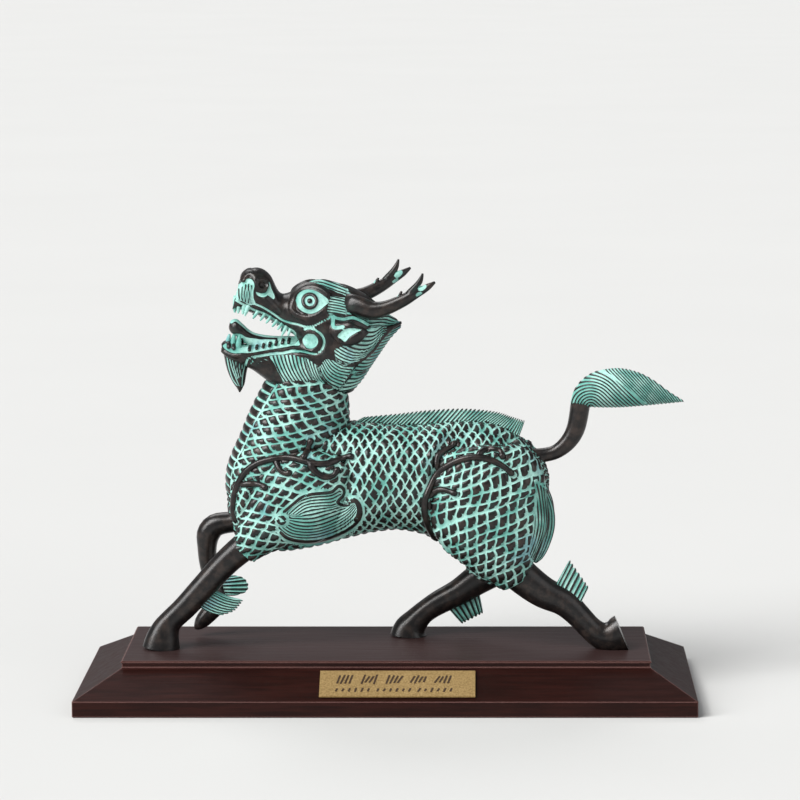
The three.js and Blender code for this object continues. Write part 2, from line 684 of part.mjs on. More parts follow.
// The plate lies square on the slope's middle. Its own x runs along it, y up the slope and z out of it.
function namePlate() {
  const pieces = [];
  const body = new THREE.BoxGeometry(plateLength, plateWidth, plateThickness);
  body.translate(0, 0, plateGlue + plateThickness / 2);
  pieces.push(body);
  const lean = 0.3;
  const stroke = (x, y, length) => {
    const bar = new THREE.BoxGeometry(strokeWidth, length, strokeHeight + strokeSink);
    bar.rotateZ(-lean);
    bar.translate(x, y, plateGlue + plateThickness + (strokeHeight - strokeSink) / 2);
    pieces.push(bar);
  };
  for (let mark = 0; mark < bigMarkCount; mark += 1) {
    const centre = ((mark + 0.5) / bigMarkCount - 0.5) * strokeRowLength;
    for (let bar = 0; bar < bigMarkStrokes; bar += 1) {
      stroke(centre + (bar - (bigMarkStrokes - 1) / 2) * strokeWidth * 3, bigRowOffset, bigStrokeLength);
    }
  }
  for (let mark = 0; mark < smallMarkCount; mark += 1) {
    stroke(((mark + 0.5) / smallMarkCount - 0.5) * strokeRowLength, smallRowOffset, smallStrokeLength);
  }
  return geometryOf(joined(pieces));
}

function material(colour, roughness, metalness) {
  return new THREE.MeshStandardMaterial({ color: colour, roughness, metalness });
}

function named(name, geometry, finish) {
  const mesh = new THREE.Mesh(geometry, finish);
  mesh.name = name;
  return mesh;
}

const part = new THREE.Group();
part.add(named("plinth", plinth(), material(COLOURS.wood, 0.4, 0)));

const plate = named("name_plate", namePlate(), material(COLOURS.brass, 0.35, 0.9));
plate.rotation.x = Math.atan2(plinthSlopeRise, plinthSlopeRun);
plate.position.set(
  plateOffCentre,
  -plinthDepth / 2 + plinthSlopeRun / 2,
  plinthEdgeHeight + plinthSlopeRise / 2,
);
part.add(plate);

const beast = named("qilin_figure", figure(), material(COLOURS.bronze, 0.45, 0.6));
beast.position.set(0, mirrorY, plinthTop + seatGap);
part.add(beast);

export default part;
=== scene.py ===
# %% [markdown]
# # A qilin on a wooden plinth
# The piece is a cast bronze qilin, a scaled and hoofed beast with antlers, on a stained wood plinth
# that carries a small brass name plate. The beast is one casting: its scales, mane and teeth are
# modelled in wax and cast with the body, so here too they are carved into one mesh. The bronze is
# treated green all over and then rubbed, which leaves the raised work black and the recesses green.
#
# The numbers for the casting are in millimetres above the plinth's top, as they would be on a
# drawing, and they are turned to metres where a mesh is made.

import json
import math
from functools import partial

import bmesh
import bpy
import numpy as np
from mathutils import Matrix, Vector
from mathutils.bvhtree import BVHTree

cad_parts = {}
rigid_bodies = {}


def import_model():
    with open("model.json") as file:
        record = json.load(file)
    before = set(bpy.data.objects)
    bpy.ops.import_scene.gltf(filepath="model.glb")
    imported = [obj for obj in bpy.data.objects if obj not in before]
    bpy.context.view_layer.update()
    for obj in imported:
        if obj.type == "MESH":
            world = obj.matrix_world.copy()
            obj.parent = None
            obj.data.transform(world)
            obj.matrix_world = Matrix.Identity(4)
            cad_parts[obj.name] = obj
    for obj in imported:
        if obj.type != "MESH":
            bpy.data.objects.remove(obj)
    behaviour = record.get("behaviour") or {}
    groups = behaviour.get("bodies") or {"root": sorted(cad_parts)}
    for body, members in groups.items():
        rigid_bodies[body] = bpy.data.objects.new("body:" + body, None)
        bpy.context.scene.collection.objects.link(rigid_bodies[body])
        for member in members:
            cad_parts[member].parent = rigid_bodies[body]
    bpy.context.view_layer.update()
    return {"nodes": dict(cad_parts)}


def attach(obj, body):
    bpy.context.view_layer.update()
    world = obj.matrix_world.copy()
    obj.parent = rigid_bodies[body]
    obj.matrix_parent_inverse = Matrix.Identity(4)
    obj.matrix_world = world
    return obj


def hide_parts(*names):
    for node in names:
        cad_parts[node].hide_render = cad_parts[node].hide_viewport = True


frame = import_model()
scene = bpy.context.scene
PLINTH_TOP, SEAT_GAP, MIDDLE_Y = 20.0, 0.1, 2.0
CASTING_ZERO = np.array([0, MIDDLE_Y, PLINTH_TOP + SEAT_GAP])

# %% [markdown]
# ## Camera, floor and light
# The camera stands a metre and a half away with a long lens, a little above the beast's back, so
# that the plinth's top shows as a thin band. The object sits left of the lens's axis, which is what
# the sideways shift is for. The floor is pale and plain. All lamps are far off, so that the floor
# is lit evenly. The broad key comes from above and to the left. Two narrower ones beside it draw
# the bright streaks on the legs, and weaker ones stand on the right and behind.

# %% Camera, floor and light
camera = bpy.data.objects.new("camera", bpy.data.cameras.new("camera"))
camera.location = (0.04114, -1.4737, 0.3398)
camera.rotation_euler = (math.radians(90 - 8.27), 0, 0)
camera.data.sensor_width = 36
camera.data.lens = 157.6
camera.data.shift_x = -0.1052
camera.data.clip_end = 20
scene.collection.objects.link(camera)
scene.camera = camera
EYE_POINT = np.array(camera.location) * 1000 - CASTING_ZERO


def far_lamp(name, side, strength, width, colour=(1, 1, 1)):
    """A lamp far off on the given side. Its width in degrees makes its light soft."""
    lamp = bpy.data.lights.new(name, "SUN")
    lamp.energy, lamp.angle, lamp.color = strength, math.radians(width), colour
    holder = bpy.data.objects.new(name, lamp)
    holder.rotation_euler = (-Vector(side)).to_track_quat("-Z", "Y").to_euler()
    holder.location = side
    scene.collection.objects.link(holder)


far_lamp("key", (-0.6, -0.7, 0.9), 2.0, 28, (1, 0.99, 0.97))
far_lamp("low streak", (-0.8, -0.45, 0.42), 1.9, 28)
far_lamp("high streak", (-0.75, -0.35, 0.85), 0.9, 12)
far_lamp("fill", (0.9, -0.8, 0.5), 0.6, 45)
far_lamp("back", (-0.3, 0.75, 0.8), 0.7, 30)

world = bpy.data.worlds.new("studio")
world.use_nodes = True
sky = world.node_tree.nodes["Background"].inputs
sky["Color"].default_value = (0.8, 0.82, 0.85, 1)
sky["Strength"].default_value = 0.25
scene.world = world
scene.view_settings.view_transform = "Standard"

bpy.ops.mesh.primitive_plane_add(size=60, location=(0, 0, 0))
floor = bpy.context.active_object
floor.name = "floor"
print("camera:", round(camera.location.length, 2), "m away, lens", round(camera.data.lens, 1), "mm")

# %% [markdown]
# ## Tools for carving
# Almost every part of the beast is a skin over rings. A slice is drawn in the side view by its
# belly point and its back point, with a half width and for a limb also its place to the side. A
# smooth run of slices is found between the drawn ones, and each slice becomes a ring. The rings are
# close enough together to carry the carving, which pushes each point out along the surface's
# normal.
#
# Each skin also carries two small maps for its finish. "pattern" counts rows and columns of scales,
# or strands of hair. "carving" holds how far in millimetres a point is from the nearest cut line,
# below 0 in a hollow. Distances stay crisp between mesh points, where painted values would blur.

# %% Slices and rings
FINE_STEPS = 400
OVAL = 2.2


def smooth_rows(rows, steps):
    """A smooth run of rows through the given ones."""
    rows = np.array(rows, float)
    place = np.linspace(0, len(rows) - 1, steps + 1)
    index = np.minimum(place.astype(int), len(rows) - 2)
    t = (place - index)[:, None]
    before, start = rows[np.maximum(index - 1, 0)], rows[index]
    end, after = rows[index + 1], rows[np.minimum(index + 2, len(rows) - 1)]
    slope_in, slope_out, rise = (end - before) / 2, (after - start) / 2, end - start
    bend = 3 * rise - 2 * slope_in - slope_out
    return start + t * (slope_in + t * (bend + t * (slope_in + slope_out - 2 * rise)))


def unit(vectors):
    return vectors / np.linalg.norm(vectors, axis=-1, keepdims=True)


def length_along(path):
    """How far along a path each of its points is."""
    return np.concatenate([[0], np.cumsum(np.linalg.norm(np.diff(path, axis=0), axis=1))])


def even_rows(rows, steps):
    """Smooth rows at even distances over the surface."""
    fine = smooth_rows(rows, FINE_STEPS)
    length = length_along(fine)
    at = np.linspace(0, length[-1], steps + 1)
    return np.stack([np.interp(at, length, column) for column in fine.T], 1)


def limb_slices(rows):
    """Slices square to a path, from rows of x, z, y, half thickness in the side view and half width."""
    rows = np.array(rows, float)
    run = unit(np.gradient(rows[:, :2], axis=0))
    x, z, y, across, half_width = rows.T
    return np.stack([x + run[:, 1] * across, z - run[:, 0] * across, x - run[:, 1] * across,
                     z + run[:, 0] * across, half_width, y], 1)


def turn_of(around):
    """The angles of so many points round a ring."""
    return np.arange(around) / around * 2 * np.pi


def rings_of(slices, around, power=OVAL):
    """Angle 0 is the back, half a turn is the belly, and the first half turn is the far side.

    A power of 2 gives ellipses, and more makes them squarer.
    """
    c, s = np.cos(turn_of(around)), np.sin(turn_of(around))
    along = np.sign(c) * np.abs(c) ** (2 / power)
    sideways = np.sign(s) * np.abs(s) ** (2 / power)
    ax, az, bx, bz, half_width, *aside = np.asarray(slices, float).T[:, :, None]
    return np.stack([(ax + bx) / 2 + (bx - ax) / 2 * along, sum(aside) + half_width * sideways,
                     (az + bz) / 2 + (bz - az) / 2 * along], 2)


def limb_rings(rows, steps, around):
    return rings_of(limb_slices(even_rows(rows, steps)), around)

# %% [markdown]
# A caster's modeller cuts lines into the wax and lets others stand proud. A fine mesh can do the
# same: each point is moved along the surface's normal by a height worked out beforehand. A
# displacement in the material would be lighter, but it is lost when the piece is exported.

# %% Carving a skin


def smoothstep(low, high, value):
    t = np.clip((np.asarray(value, float) - low) / (high - low), 0, 1)
    return t * t * (3 - 2 * t)


def wave(count):
    """1 at each whole count and -1 halfway between."""
    return np.cos(2 * np.pi * count)


def normals_of(grid):
    """The outward normal at each point."""
    around = np.roll(grid, -1, 1) - np.roll(grid, 1, 1)
    normal = np.cross(np.gradient(grid, axis=0), around)
    normal /= np.maximum(np.linalg.norm(normal, axis=2), 1e-9)[:, :, None]
    outwards = np.sum(normal * (grid - grid.mean(1, keepdims=True))) > 0
    return normal if outwards else -normal


def carve(grid, height):
    """Pushes a grid of points out along its normals."""
    return grid + normals_of(grid) * np.asarray(height)[:, :, None]


def lengths_of(grid):
    """How far each point is along its column, and around its ring from the back down either side."""
    along = np.linalg.norm(np.diff(grid, axis=0), axis=2).mean(1)
    along = np.concatenate([[0], np.cumsum(along)])[:, None] * np.ones((1, grid.shape[1]))
    half = grid.shape[1] // 2
    step = np.linalg.norm(np.diff(grid[:, : half + 1], axis=1), axis=2)
    down = np.concatenate([np.zeros((len(grid), 1)), np.cumsum(step, 1)], 1)
    return along, np.concatenate([down, down[:, -2:0:-1]], 1)

# %% [markdown]
# ## Skins
# A skin stitches its rings into one closed shell with a flat fan of faces at each end. Bands of it
# can have a finish of their own, such as the throat plates on the neck. The shells are collected in
# a list, each with its faces turned outwards, because the union later on needs closed shells. REACH
# is how far in millimetres the map "carving" needs to count at most.

# %% Skins and how they join
FINISHES = ["bare bronze", "scaled bronze", "plated bronze", "carved bronze"]
BARE, SCALED, PLATED, CARVED = range(4)
REACH = 1.5
shells = []


def filed(points, quads, triangles, maps, quad_finish, end_finish):
    """Files a closed shell for the casting, turned the right way out."""
    fans = np.concatenate([quads[:, [0, 1, 2]], quads[:, [0, 2, 3]], triangles])
    volume = np.einsum("ij,ij->", points[fans[:, 0]], np.cross(points[fans[:, 1]], points[fans[:, 2]]))
    if volume < 0:
        quads, triangles = quads[:, ::-1], triangles[:, ::-1]
        maps = [m[:, ::-1] for m in maps]
    shell = (points, quads, triangles, maps, quad_finish, end_finish)
    shells.append(shell)
    return shell


def skin(grid, finish=BARE, pattern=(0, 0), edge=REACH, bands=()):
    """Stitches rings into a closed shell.

    Each band is a mask, a finish, a pattern and an edge for part of it.
    """
    rows, around = grid.shape[:2]
    i, j = np.meshgrid(np.arange(rows - 1), np.arange(around), indexing="ij")
    a, b = (i * around + j).ravel(), (i * around + (j + 1) % around).ravel()
    quads = np.stack([a, b, b + around, a + around], 1)
    points = np.concatenate([grid.reshape(-1, 3), [grid[0].mean(0), grid[-1].mean(0)]])
    k, base = np.arange(around), (rows - 1) * around
    first = np.stack([(k + 1) % around, k, np.full(around, rows * around)], 1)
    last = np.stack([base + k, base + (k + 1) % around, np.full(around, rows * around + 1)], 1)
    triangles = np.concatenate([first, last])

    def per_point(p, q, value):
        full = np.stack([np.broadcast_to(m, (rows, around)).ravel() for m in (p, q, value)], 1)
        return np.concatenate([full, full[:around].mean(0)[None], full[-around:].mean(0)[None]])

    values = per_point(*pattern, edge)
    corners, quad_finish = values[quads], np.full(len(quads), finish)
    for mask, band_finish, band_pattern, band_edge in bands:
        inside = np.broadcast_to(mask, (rows, around)).ravel()[quads].any(1)
        corners[inside] = per_point(*band_pattern, band_edge)[quads[inside]]
        quad_finish[inside] = band_finish
    return filed(points, quads, triangles, [corners, values[triangles]], quad_finish, finish)

# %% [markdown]
# What comes in pairs, such as ears, teeth and vines, is made once and turned over the middle plane.
# A mirrored shell is inside out, so it is filed again, which turns its faces the right way.

# %% Pairs
OVER = np.diag([1.0, -1.0, 1.0, 1.0])


def both_sides(shell, pose=np.eye(4)):
    """Adds the same shell on the other side of the middle plane, which pose has turned."""
    points, *rest = shell
    matrix = pose @ OVER @ np.linalg.inv(pose)
    filed(points @ matrix[:3, :3].T + matrix[:3, 3], *rest)

# %% [markdown]
# ## One casting
# The real beast was poured in one piece, so the shells are united and no hidden walls stay inside.
# A remesh would do it too, but it would blur the scales and lose the maps. The union keeps every
# point that stays outside, with its finish and its two maps.

# %% Meshes and their union


def mesh_of(shell, name):
    points, quads, triangles, maps, quad_finish, end_finish = shell
    mesh = bpy.data.meshes.new(name)
    world = (points + CASTING_ZERO) / 1000
    mesh.from_pydata(world.tolist(), [], quads.tolist() + triangles.tolist())
    values = np.concatenate([maps[0].reshape(-1, 3), maps[1].reshape(-1, 3)])
    mesh.uv_layers.new(name="pattern").data.foreach_set("uv", values[:, :2].ravel())
    carving = np.stack([values[:, 2], np.zeros(len(values))], 1)
    mesh.uv_layers.new(name="carving").data.foreach_set("uv", carving.ravel())
    for finish in FINISHES:
        mesh.materials.append(bpy.data.materials[finish])
    index = np.concatenate([quad_finish, np.full(len(triangles), end_finish)])
    mesh.polygons.foreach_set("material_index", index.astype(int))
    mesh.polygons.foreach_set("use_smooth", np.ones(len(index), bool))
    return mesh


def object_of(mesh, collection=None):
    thing = bpy.data.objects.new(mesh.name, mesh)
    (collection or scene.collection).objects.link(thing)
    return thing


def baked(thing):
    """The mesh of an object with its modifiers carried out."""
    bpy.context.view_layer.update()
    graph = bpy.context.evaluated_depsgraph_get()
    return bpy.data.meshes.new_from_object(thing.evaluated_get(graph), depsgraph=graph)


def joined(pieces, name):
    """One closed mesh from overlapping closed shells."""
    first = object_of(mesh_of(pieces[0], name))
    others = bpy.data.collections.new("others")
    scene.collection.children.link(others)
    for n, shell in enumerate(pieces[1:]):
        object_of(mesh_of(shell, f"shell {n}"), others)
    union = first.modifiers.new("union", "BOOLEAN")
    union.operation, union.solver, union.operand_type = "UNION", "MANIFOLD", "COLLECTION"
    union.collection, union.material_mode = others, "TRANSFER"
    mesh = baked(first)
    for thing in [*others.objects, first]:
        bpy.data.meshes.remove(thing.data)
    bpy.data.collections.remove(others)
    mesh.name = name
    return object_of(mesh)

# %% [markdown]
# ## Finishes
# Aged bronze is one recipe used four ways. The casting is treated until it is green all over, and
# then its high places are rubbed back to dark metal, so everything follows from how proud a point
# is. The group turns that height into colour, gloss and a fine bump. The scales are drawn by
# arithmetic on the "pattern" map: two families of lines cross at a slant, and each row is bent
# towards the tail, which gives fish scales with a rounded free edge.

# %% Help for wiring shaders


def new_material(name):
    made = bpy.data.materials.new(name)
    made.use_nodes = True
    tree = made.node_tree
    return made, tree, tree.nodes["Principled BSDF"]


def wire(tree, target, value):
    if isinstance(value, bpy.types.NodeSocket):
        tree.links.new(value, target)
    else:
        target.default_value = value


def node_in(tree, kind, **values):
    """Adds a node and wires its inputs, with _ for a blank in an input's name."""
    node = tree.nodes.new(kind)
    for title, value in values.items():
        wire(tree, node.inputs[title.replace("_", " ")], value)
    return node


def sums(tree, operation, *values):
    node = tree.nodes.new("ShaderNodeMath")
    node.operation = operation
    for slot, value in zip(node.inputs, values):
        wire(tree, slot, value)
    return node.outputs[0]


def ramp(tree, value, low, high, start=0.0, end=1.0):
    node = node_in(tree, "ShaderNodeMapRange", Value=value, From_Min=low, From_Max=high,
                   To_Min=start, To_Max=end)
    node.interpolation_type = "SMOOTHSTEP"
    return node.outputs["Result"]


def mixed(tree, factor, a, b):
    node = tree.nodes.new("ShaderNodeMix")
    node.data_type = "RGBA"
    wire(tree, node.inputs["Factor"], factor)
    wire(tree, node.inputs[6], a)
    wire(tree, node.inputs[7], b)
    return node.outputs[2]


def noise(tree, scale, detail=3.0, rough=0.6, stretch=None):
    """Noise over the object, whose unit is the metre."""
    place = tree.nodes.new("ShaderNodeTexCoord").outputs["Object"]
    if stretch:
        place = node_in(tree, "ShaderNodeMapping", Vector=place, Scale=stretch).outputs["Vector"]
    node = node_in(tree, "ShaderNodeTexNoise", Vector=place, Scale=scale, Detail=detail, Roughness=rough)
    return node.outputs["Fac"]

# %% [markdown]
# What several finishes share is kept in a node group, so that it is wired once. These two helpers
# make a group with named inputs and outputs, and put it to use inside a material.

# %% Shared node groups


def group(name, inputs, outputs):
    tree = bpy.data.node_groups.new(name, "ShaderNodeTree")
    for title, kind in inputs:
        tree.interface.new_socket(title, in_out="INPUT", socket_type=kind)
    for title, kind in outputs:
        tree.interface.new_socket(title, in_out="OUTPUT", socket_type=kind)
    return tree, tree.nodes.new("NodeGroupInput").outputs, tree.nodes.new("NodeGroupOutput").inputs


def use(tree, shared, **values):
    node = tree.nodes.new("ShaderNodeGroup")
    node.node_tree = shared
    for title, value in values.items():
        wire(tree, node.inputs[title], value)
    return node.outputs

# %% [markdown]
# Real bronze is black where hands and rags have rubbed it and green where they can't reach. Between
# the two, the green darkens as it thins out. Clouds of a bluer and a paler green keep it from
# looking like paint. Painting the colours by hand would work for one beast, but the recipe fits any
# carving.

# %% The recipe for aged bronze
FLOAT, COLOUR, VECTOR = "NodeSocketFloat", "NodeSocketColor", "NodeSocketVector"
RUBBED, RUBBED_WARM = (0.009, 0.008, 0.008, 1), (0.036, 0.026, 0.022, 1)
MINT, TURQUOISE, BLUISH = (0.38, 0.67, 0.6, 1), (0.14, 0.41, 0.35, 1), (0.15, 0.32, 0.41, 1)
DEEP_GREEN = (0.022, 0.10, 0.085, 1)

aged, given, made = group(
    "aged bronze", [("Raised", FLOAT), ("Patina", FLOAT)],
    [("Base Color", COLOUR), ("Metallic", FLOAT), ("Roughness", FLOAT), ("Normal", VECTOR)])
calc = partial(sums, aged)
cloud = noise(aged, 90, 2)
grit = noise(aged, 900, 4, 0.7)

# The grit makes the edge between bare metal and green ragged, and a film of green stays in patches.
height = calc("ADD", given["Raised"], calc("MULTIPLY_ADD", grit, 0.3, -0.15))
bared = ramp(aged, height, 0.5, 0.66)
film = calc("MULTIPLY", ramp(aged, noise(aged, 160, 4, 0.65), 0.5, 0.72), given["Patina"])
bared = calc("MULTIPLY", bared, calc("SUBTRACT", 1.0, film))
green = mixed(aged, ramp(aged, cloud, 0.36, 0.6), TURQUOISE, MINT)
green = mixed(aged, ramp(aged, noise(aged, 55, 3), 0.56, 0.72, 0.0, 0.6), green, BLUISH)
green = mixed(aged, ramp(aged, height, 0.3, 0.62, 0.0, 0.85), green, DEEP_GREEN)
green = mixed(aged, ramp(aged, grit, 0.25, 0.55, 0.4, 0.0), green, DEEP_GREEN)
metal = mixed(aged, ramp(aged, noise(aged, 260, 3), 0.4, 0.75), RUBBED, RUBBED_WARM)
wire(aged, made["Base Color"], mixed(aged, bared, green, metal))
wire(aged, made["Metallic"], calc("MULTIPLY", bared, 0.15))
wire(aged, made["Roughness"], ramp(aged, calc("MULTIPLY_ADD", grit, 0.25, bared), 0.0, 1.2, 0.75, 0.28))
relief = node_in(aged, "ShaderNodeBump", Height=calc("MULTIPLY_ADD", grit, 0.3, given["Raised"]),
                 Strength=0.6, Distance=0.0004)
wire(aged, made["Normal"], relief.outputs["Normal"])
print("aged bronze:", len(aged.nodes), "nodes")

# %% [markdown]
# A scale's free edge is a rounded bow, and each row is set half a scale beside the one before. Two
# families of such bows give a margin in millimetres at any point, so the cut lines stay thin and
# crisp without a fine mesh. The slope of each bow is divided out, which keeps all lines one width.
# ROUND shapes the bow, SOFT rounds the corner where two bows meet, and CREST_FLOOR keeps a cosine
# off 0.

# %% Fish scales by arithmetic
ROW_LENGTH, COLUMN_WIDTH = 2.3, 7.7
ROUND, SOFT, CREST_FLOOR = 0.72, 0.6, 0.02
SLANT = math.pi * ROW_LENGTH / COLUMN_WIDTH
scales, given, made = group("fish scales", [("Row", FLOAT), ("Column", FLOAT)], [("Margin", FLOAT)])
calc = partial(sums, scales)
gaps = []
for phase in (0, 1):
    across = calc("SUBTRACT", calc("FRACT", calc("ADD", given["Column"], 0.5 + phase / 2)), 0.5)
    angle = calc("MULTIPLY", across, math.pi)
    crest = calc("MAXIMUM", calc("COSINE", angle), CREST_FLOOR)
    past = calc("SUBTRACT", calc("SUBTRACT", given["Row"], phase - 1), calc("POWER", crest, ROUND))
    gap = calc("MULTIPLY_ADD", calc("FRACT", calc("MULTIPLY", past, 0.5)), 2.0, -1.0)
    rise = calc("MULTIPLY", calc("SINE", angle), SLANT * ROUND)
    slope = calc("DIVIDE", rise, calc("POWER", crest, 1 - ROUND))
    steep = calc("SQRT", calc("ADD", calc("POWER", slope, 2.0), 1.0))
    gaps.append(calc("DIVIDE", calc("ABSOLUTE", gap), steep))
wire(scales, made["Margin"], calc("MULTIPLY", calc("SMOOTH_MIN", *gaps, SOFT), ROW_LENGTH))
print("fish scales:", len(scales.nodes), "nodes")

# %% [markdown]
# The wax is cut with the same pattern that the finish colours, or the green would miss the grooves.
# So the same sums are written once more, here for the mesh's points.

# %% The same scales for the knife


def scale_margin(row, column):
    """The same field for carving, in millimetres from the nearest cut line."""
    gaps = []
    for phase in (0, 1):
        across = (column + 0.5 + phase / 2) % 1 - 0.5
        crest = np.maximum(np.cos(np.pi * across), CREST_FLOOR)
        gap = np.abs((row - phase - crest ** ROUND + 1) % 2 - 1)
        slope = SLANT * ROUND * np.sin(np.pi * across) / crest ** (1 - ROUND)
        gaps.append(gap / np.sqrt(1 + slope ** 2))
    near = np.maximum(SOFT - np.abs(gaps[0] - gaps[1]), 0) / SOFT
    return ROW_LENGTH * (np.minimum(*gaps) - near ** 3 * SOFT / 6)

# %% [markdown]
# The recipe is used four ways. Legs and vines are bare, the flanks are scaled, the throat is
# plated, and head, fins and tail are carved. Each reads how proud a point is from the two maps. A
# throat plate is 3.9 mm long.

# %% The four bronzes
PLATE_PITCH = 3.9


def map_values(tree, name):
    node = tree.nodes.new("ShaderNodeUVMap")
    node.uv_map = name
    split = node_in(tree, "ShaderNodeSeparateXYZ", Vector=node.outputs["UV"]).outputs
    return split["X"], split["Y"]


def bronze(name, raised_by, patina):
    _, tree, shader = new_material(name)
    result = use(tree, aged, Raised=raised_by(tree), Patina=patina)
    for title in ("Base Color", "Metallic", "Roughness", "Normal"):
        wire(tree, shader.inputs[title], result[title])
    shader.inputs["Specular IOR Level"].default_value = 0.42


def raised_scales(tree):
    row, column = map_values(tree, "pattern")
    edge, _ = map_values(tree, "carving")
    margin = use(tree, scales, Row=row, Column=column)["Margin"]
    return ramp(tree, sums(tree, "MINIMUM", margin, edge), 0.0, 0.84)


def raised_plates(tree):
    row, _ = map_values(tree, "pattern")
    edge, _ = map_values(tree, "carving")
    middle = sums(tree, "ABSOLUTE", sums(tree, "SUBTRACT", sums(tree, "FRACT", row), 0.5))
    own = sums(tree, "MULTIPLY", sums(tree, "SUBTRACT", 0.5, middle), PLATE_PITCH)
    return ramp(tree, sums(tree, "MINIMUM", own, edge), 0.1, 0.9)


def raised_carving(tree):
    """Strands where the pattern's second value is above 0, and otherwise the drawn edges."""
    strand, within = map_values(tree, "pattern")
    edge, _ = map_values(tree, "carving")
    crest = sums(tree, "ABSOLUTE", sums(tree, "SUBTRACT", sums(tree, "FRACT", strand), 0.5))
    strands = ramp(tree, crest, 0.43, 0.03)
    drawn_edges = ramp(tree, edge, -0.3, 0.3)
    share = ramp(tree, within, 0.05, 0.3)
    return sums(tree, "ADD", sums(tree, "MULTIPLY", strands, share),
                sums(tree, "MULTIPLY", drawn_edges, sums(tree, "SUBTRACT", 1.0, share)))


bronze("bare bronze", lambda tree: 1.0, 0.0)
bronze("scaled bronze", raised_scales, 0.15)
bronze("plated bronze", raised_plates, 0.15)
bronze("carved bronze", raised_carving, 0.1)
print("bronzes:", ", ".join(FINISHES))

# %% [markdown]
# ## Wood, brass and floor
# The plinth is stained and waxed wood: nearly black mahogany with a faint grain along its length,
# redder and brighter at its edges, which are worn and also carry a painted highlight. A noise
# stretched along x gives the grain, and the distance to an edge, taken from a bevelled normal, gives
# those arrises. What faces up is painted paler, as painted light from above. The plate is blasted
# brass, which looks grainy and matt.

# %% Stained wood
WOOD_DARK, WOOD_RED = (0.013, 0.0035, 0.0026, 1), (0.027, 0.0068, 0.005, 1)
WORN_AND_HIGHLIT, PAINTED_TOP_LIGHT = (0.2, 0.1, 0.09, 1), (0.046, 0.027, 0.026, 1)
wood, tree, shader = new_material("stained wood")
grain = noise(tree, 60, 5, 0.65, (0.6, 9, 9))
clouds = noise(tree, 14, 2)
stain_and_top_light = mixed(tree, ramp(tree, grain, 0.35, 0.7), WOOD_DARK, WOOD_RED)
stain_and_top_light = mixed(tree, ramp(tree, clouds, 0.4, 0.8, 0.0, 0.5), stain_and_top_light, WOOD_DARK)
rounded = node_in(tree, "ShaderNodeBevel", Radius=0.0007).outputs["Normal"]
flat = tree.nodes.new("ShaderNodeNewGeometry").outputs["True Normal"]
upright = node_in(tree, "ShaderNodeSeparateXYZ", Vector=flat).outputs["Z"]
# Painted light: faces that point up are painted paler, standing in for the light from above.
stain_and_top_light = mixed(tree, ramp(tree, upright, 0.93, 0.99, 0.0, 0.8), stain_and_top_light, PAINTED_TOP_LIGHT)
turned = tree.nodes.new("ShaderNodeVectorMath")
turned.operation = "DOT_PRODUCT"
tree.links.new(rounded, turned.inputs[0])
tree.links.new(flat, turned.inputs[1])
# The arrises are worn and also carry a painted highlight: a bright edge colour stands in for light on them.
worn_and_highlit = ramp(tree, turned.outputs["Value"], 0.995, 0.94, 0.0, 0.9)
wire(tree, shader.inputs["Base Color"], mixed(tree, worn_and_highlit, stain_and_top_light, WORN_AND_HIGHLIT))
wire(tree, shader.inputs["Roughness"], ramp(tree, grain, 0.3, 0.7, 0.34, 0.42))
shader.inputs["Specular IOR Level"].default_value = 0.14
dents = node_in(tree, "ShaderNodeBump", Height=grain, Strength=0.25, Distance=0.0002, Normal=rounded)
wire(tree, shader.inputs["Normal"], dents.outputs["Normal"])
print("stained wood:", len(tree.nodes), "nodes")

# %% [markdown]
# The plate's ground is blasted, so a very fine noise sets both its colour and its gloss. The
# strokes on it are filled with a dark lacquer. The floor is a plain pale paper, and the plinth,
# which needs no mesh beyond the solid one, gets its wood here.

# %% Brass, lacquer and floor
BRASS_DARK, BRASS_LIGHT = (0.26, 0.165, 0.06, 1), (0.46, 0.31, 0.13, 1)


def wavering(name, scale, dark, light, roughness):
    """A plain matt material whose colour wavers a little."""
    made, tree, shader = new_material(name)
    wire(tree, shader.inputs["Base Color"], mixed(tree, noise(tree, scale), dark, light))
    shader.inputs["Roughness"].default_value = roughness
    return made


brass, tree, shader = new_material("plate brass")
speck = noise(tree, 1500, 2, 0.8)
wire(tree, shader.inputs["Base Color"], mixed(tree, ramp(tree, speck, 0.3, 0.7), BRASS_DARK, BRASS_LIGHT))
wire(tree, shader.inputs["Roughness"], ramp(tree, speck, 0.3, 0.7, 0.5, 0.62))
shader.inputs["Metallic"].default_value = 0.4
ink = wavering("dark strokes", 1200, (0.028, 0.014, 0.006, 1), (0.06, 0.03, 0.013, 1), 0.6)
floor.data.materials.append(wavering("pale floor", 3, (0.64, 0.64, 0.63, 1), (0.67, 0.67, 0.66, 1), 0.9))
frame["nodes"]["plinth"].data.materials.clear()
frame["nodes"]["plinth"].data.materials.append(wood)

# %% [markdown]
# ## The name plate
# A thin brass strip is glued to the slope. On the real plate there are two lines of writing, and
# here two rows of shallow slanting strokes, which say nothing, stand in their place. Strokes that
# repeat are work for Geometry Nodes: one small bar is set out in marks of so many strokes, and each
# one leans and ends a little differently.

# %% A node tree for rows of strokes
rows_tree = bpy.data.node_groups.new("rows of strokes", "GeometryNodeTree")
ROW_INPUTS = {
    "Plate": "Geometry", "Marks": "Int", "Strokes": "Int", "Mark Pitch": "Float", "Stroke Pitch": "Float",
    "Bar": "Vector", "Offset": "Vector", "Seed": "Int", "Finish": "Material",
}
socket_of = {}
for title, kind in ROW_INPUTS.items():
    socket = rows_tree.interface.new_socket(title, in_out="INPUT", socket_type="NodeSocket" + kind)
    socket_of[title] = socket.identifier
rows_tree.interface.new_socket("Plate", in_out="OUTPUT", socket_type="NodeSocketGeometry")
given = rows_tree.nodes.new("NodeGroupInput").outputs
calc, added = partial(sums, rows_tree), partial(node_in, rows_tree)


def random_between(low, high, shift):
    node = added("FunctionNodeRandomValue", Seed=calc("ADD", given["Seed"], shift))
    node.data_type = "FLOAT"
    node.inputs[2].default_value, node.inputs[3].default_value = low, high
    return node.outputs[1]


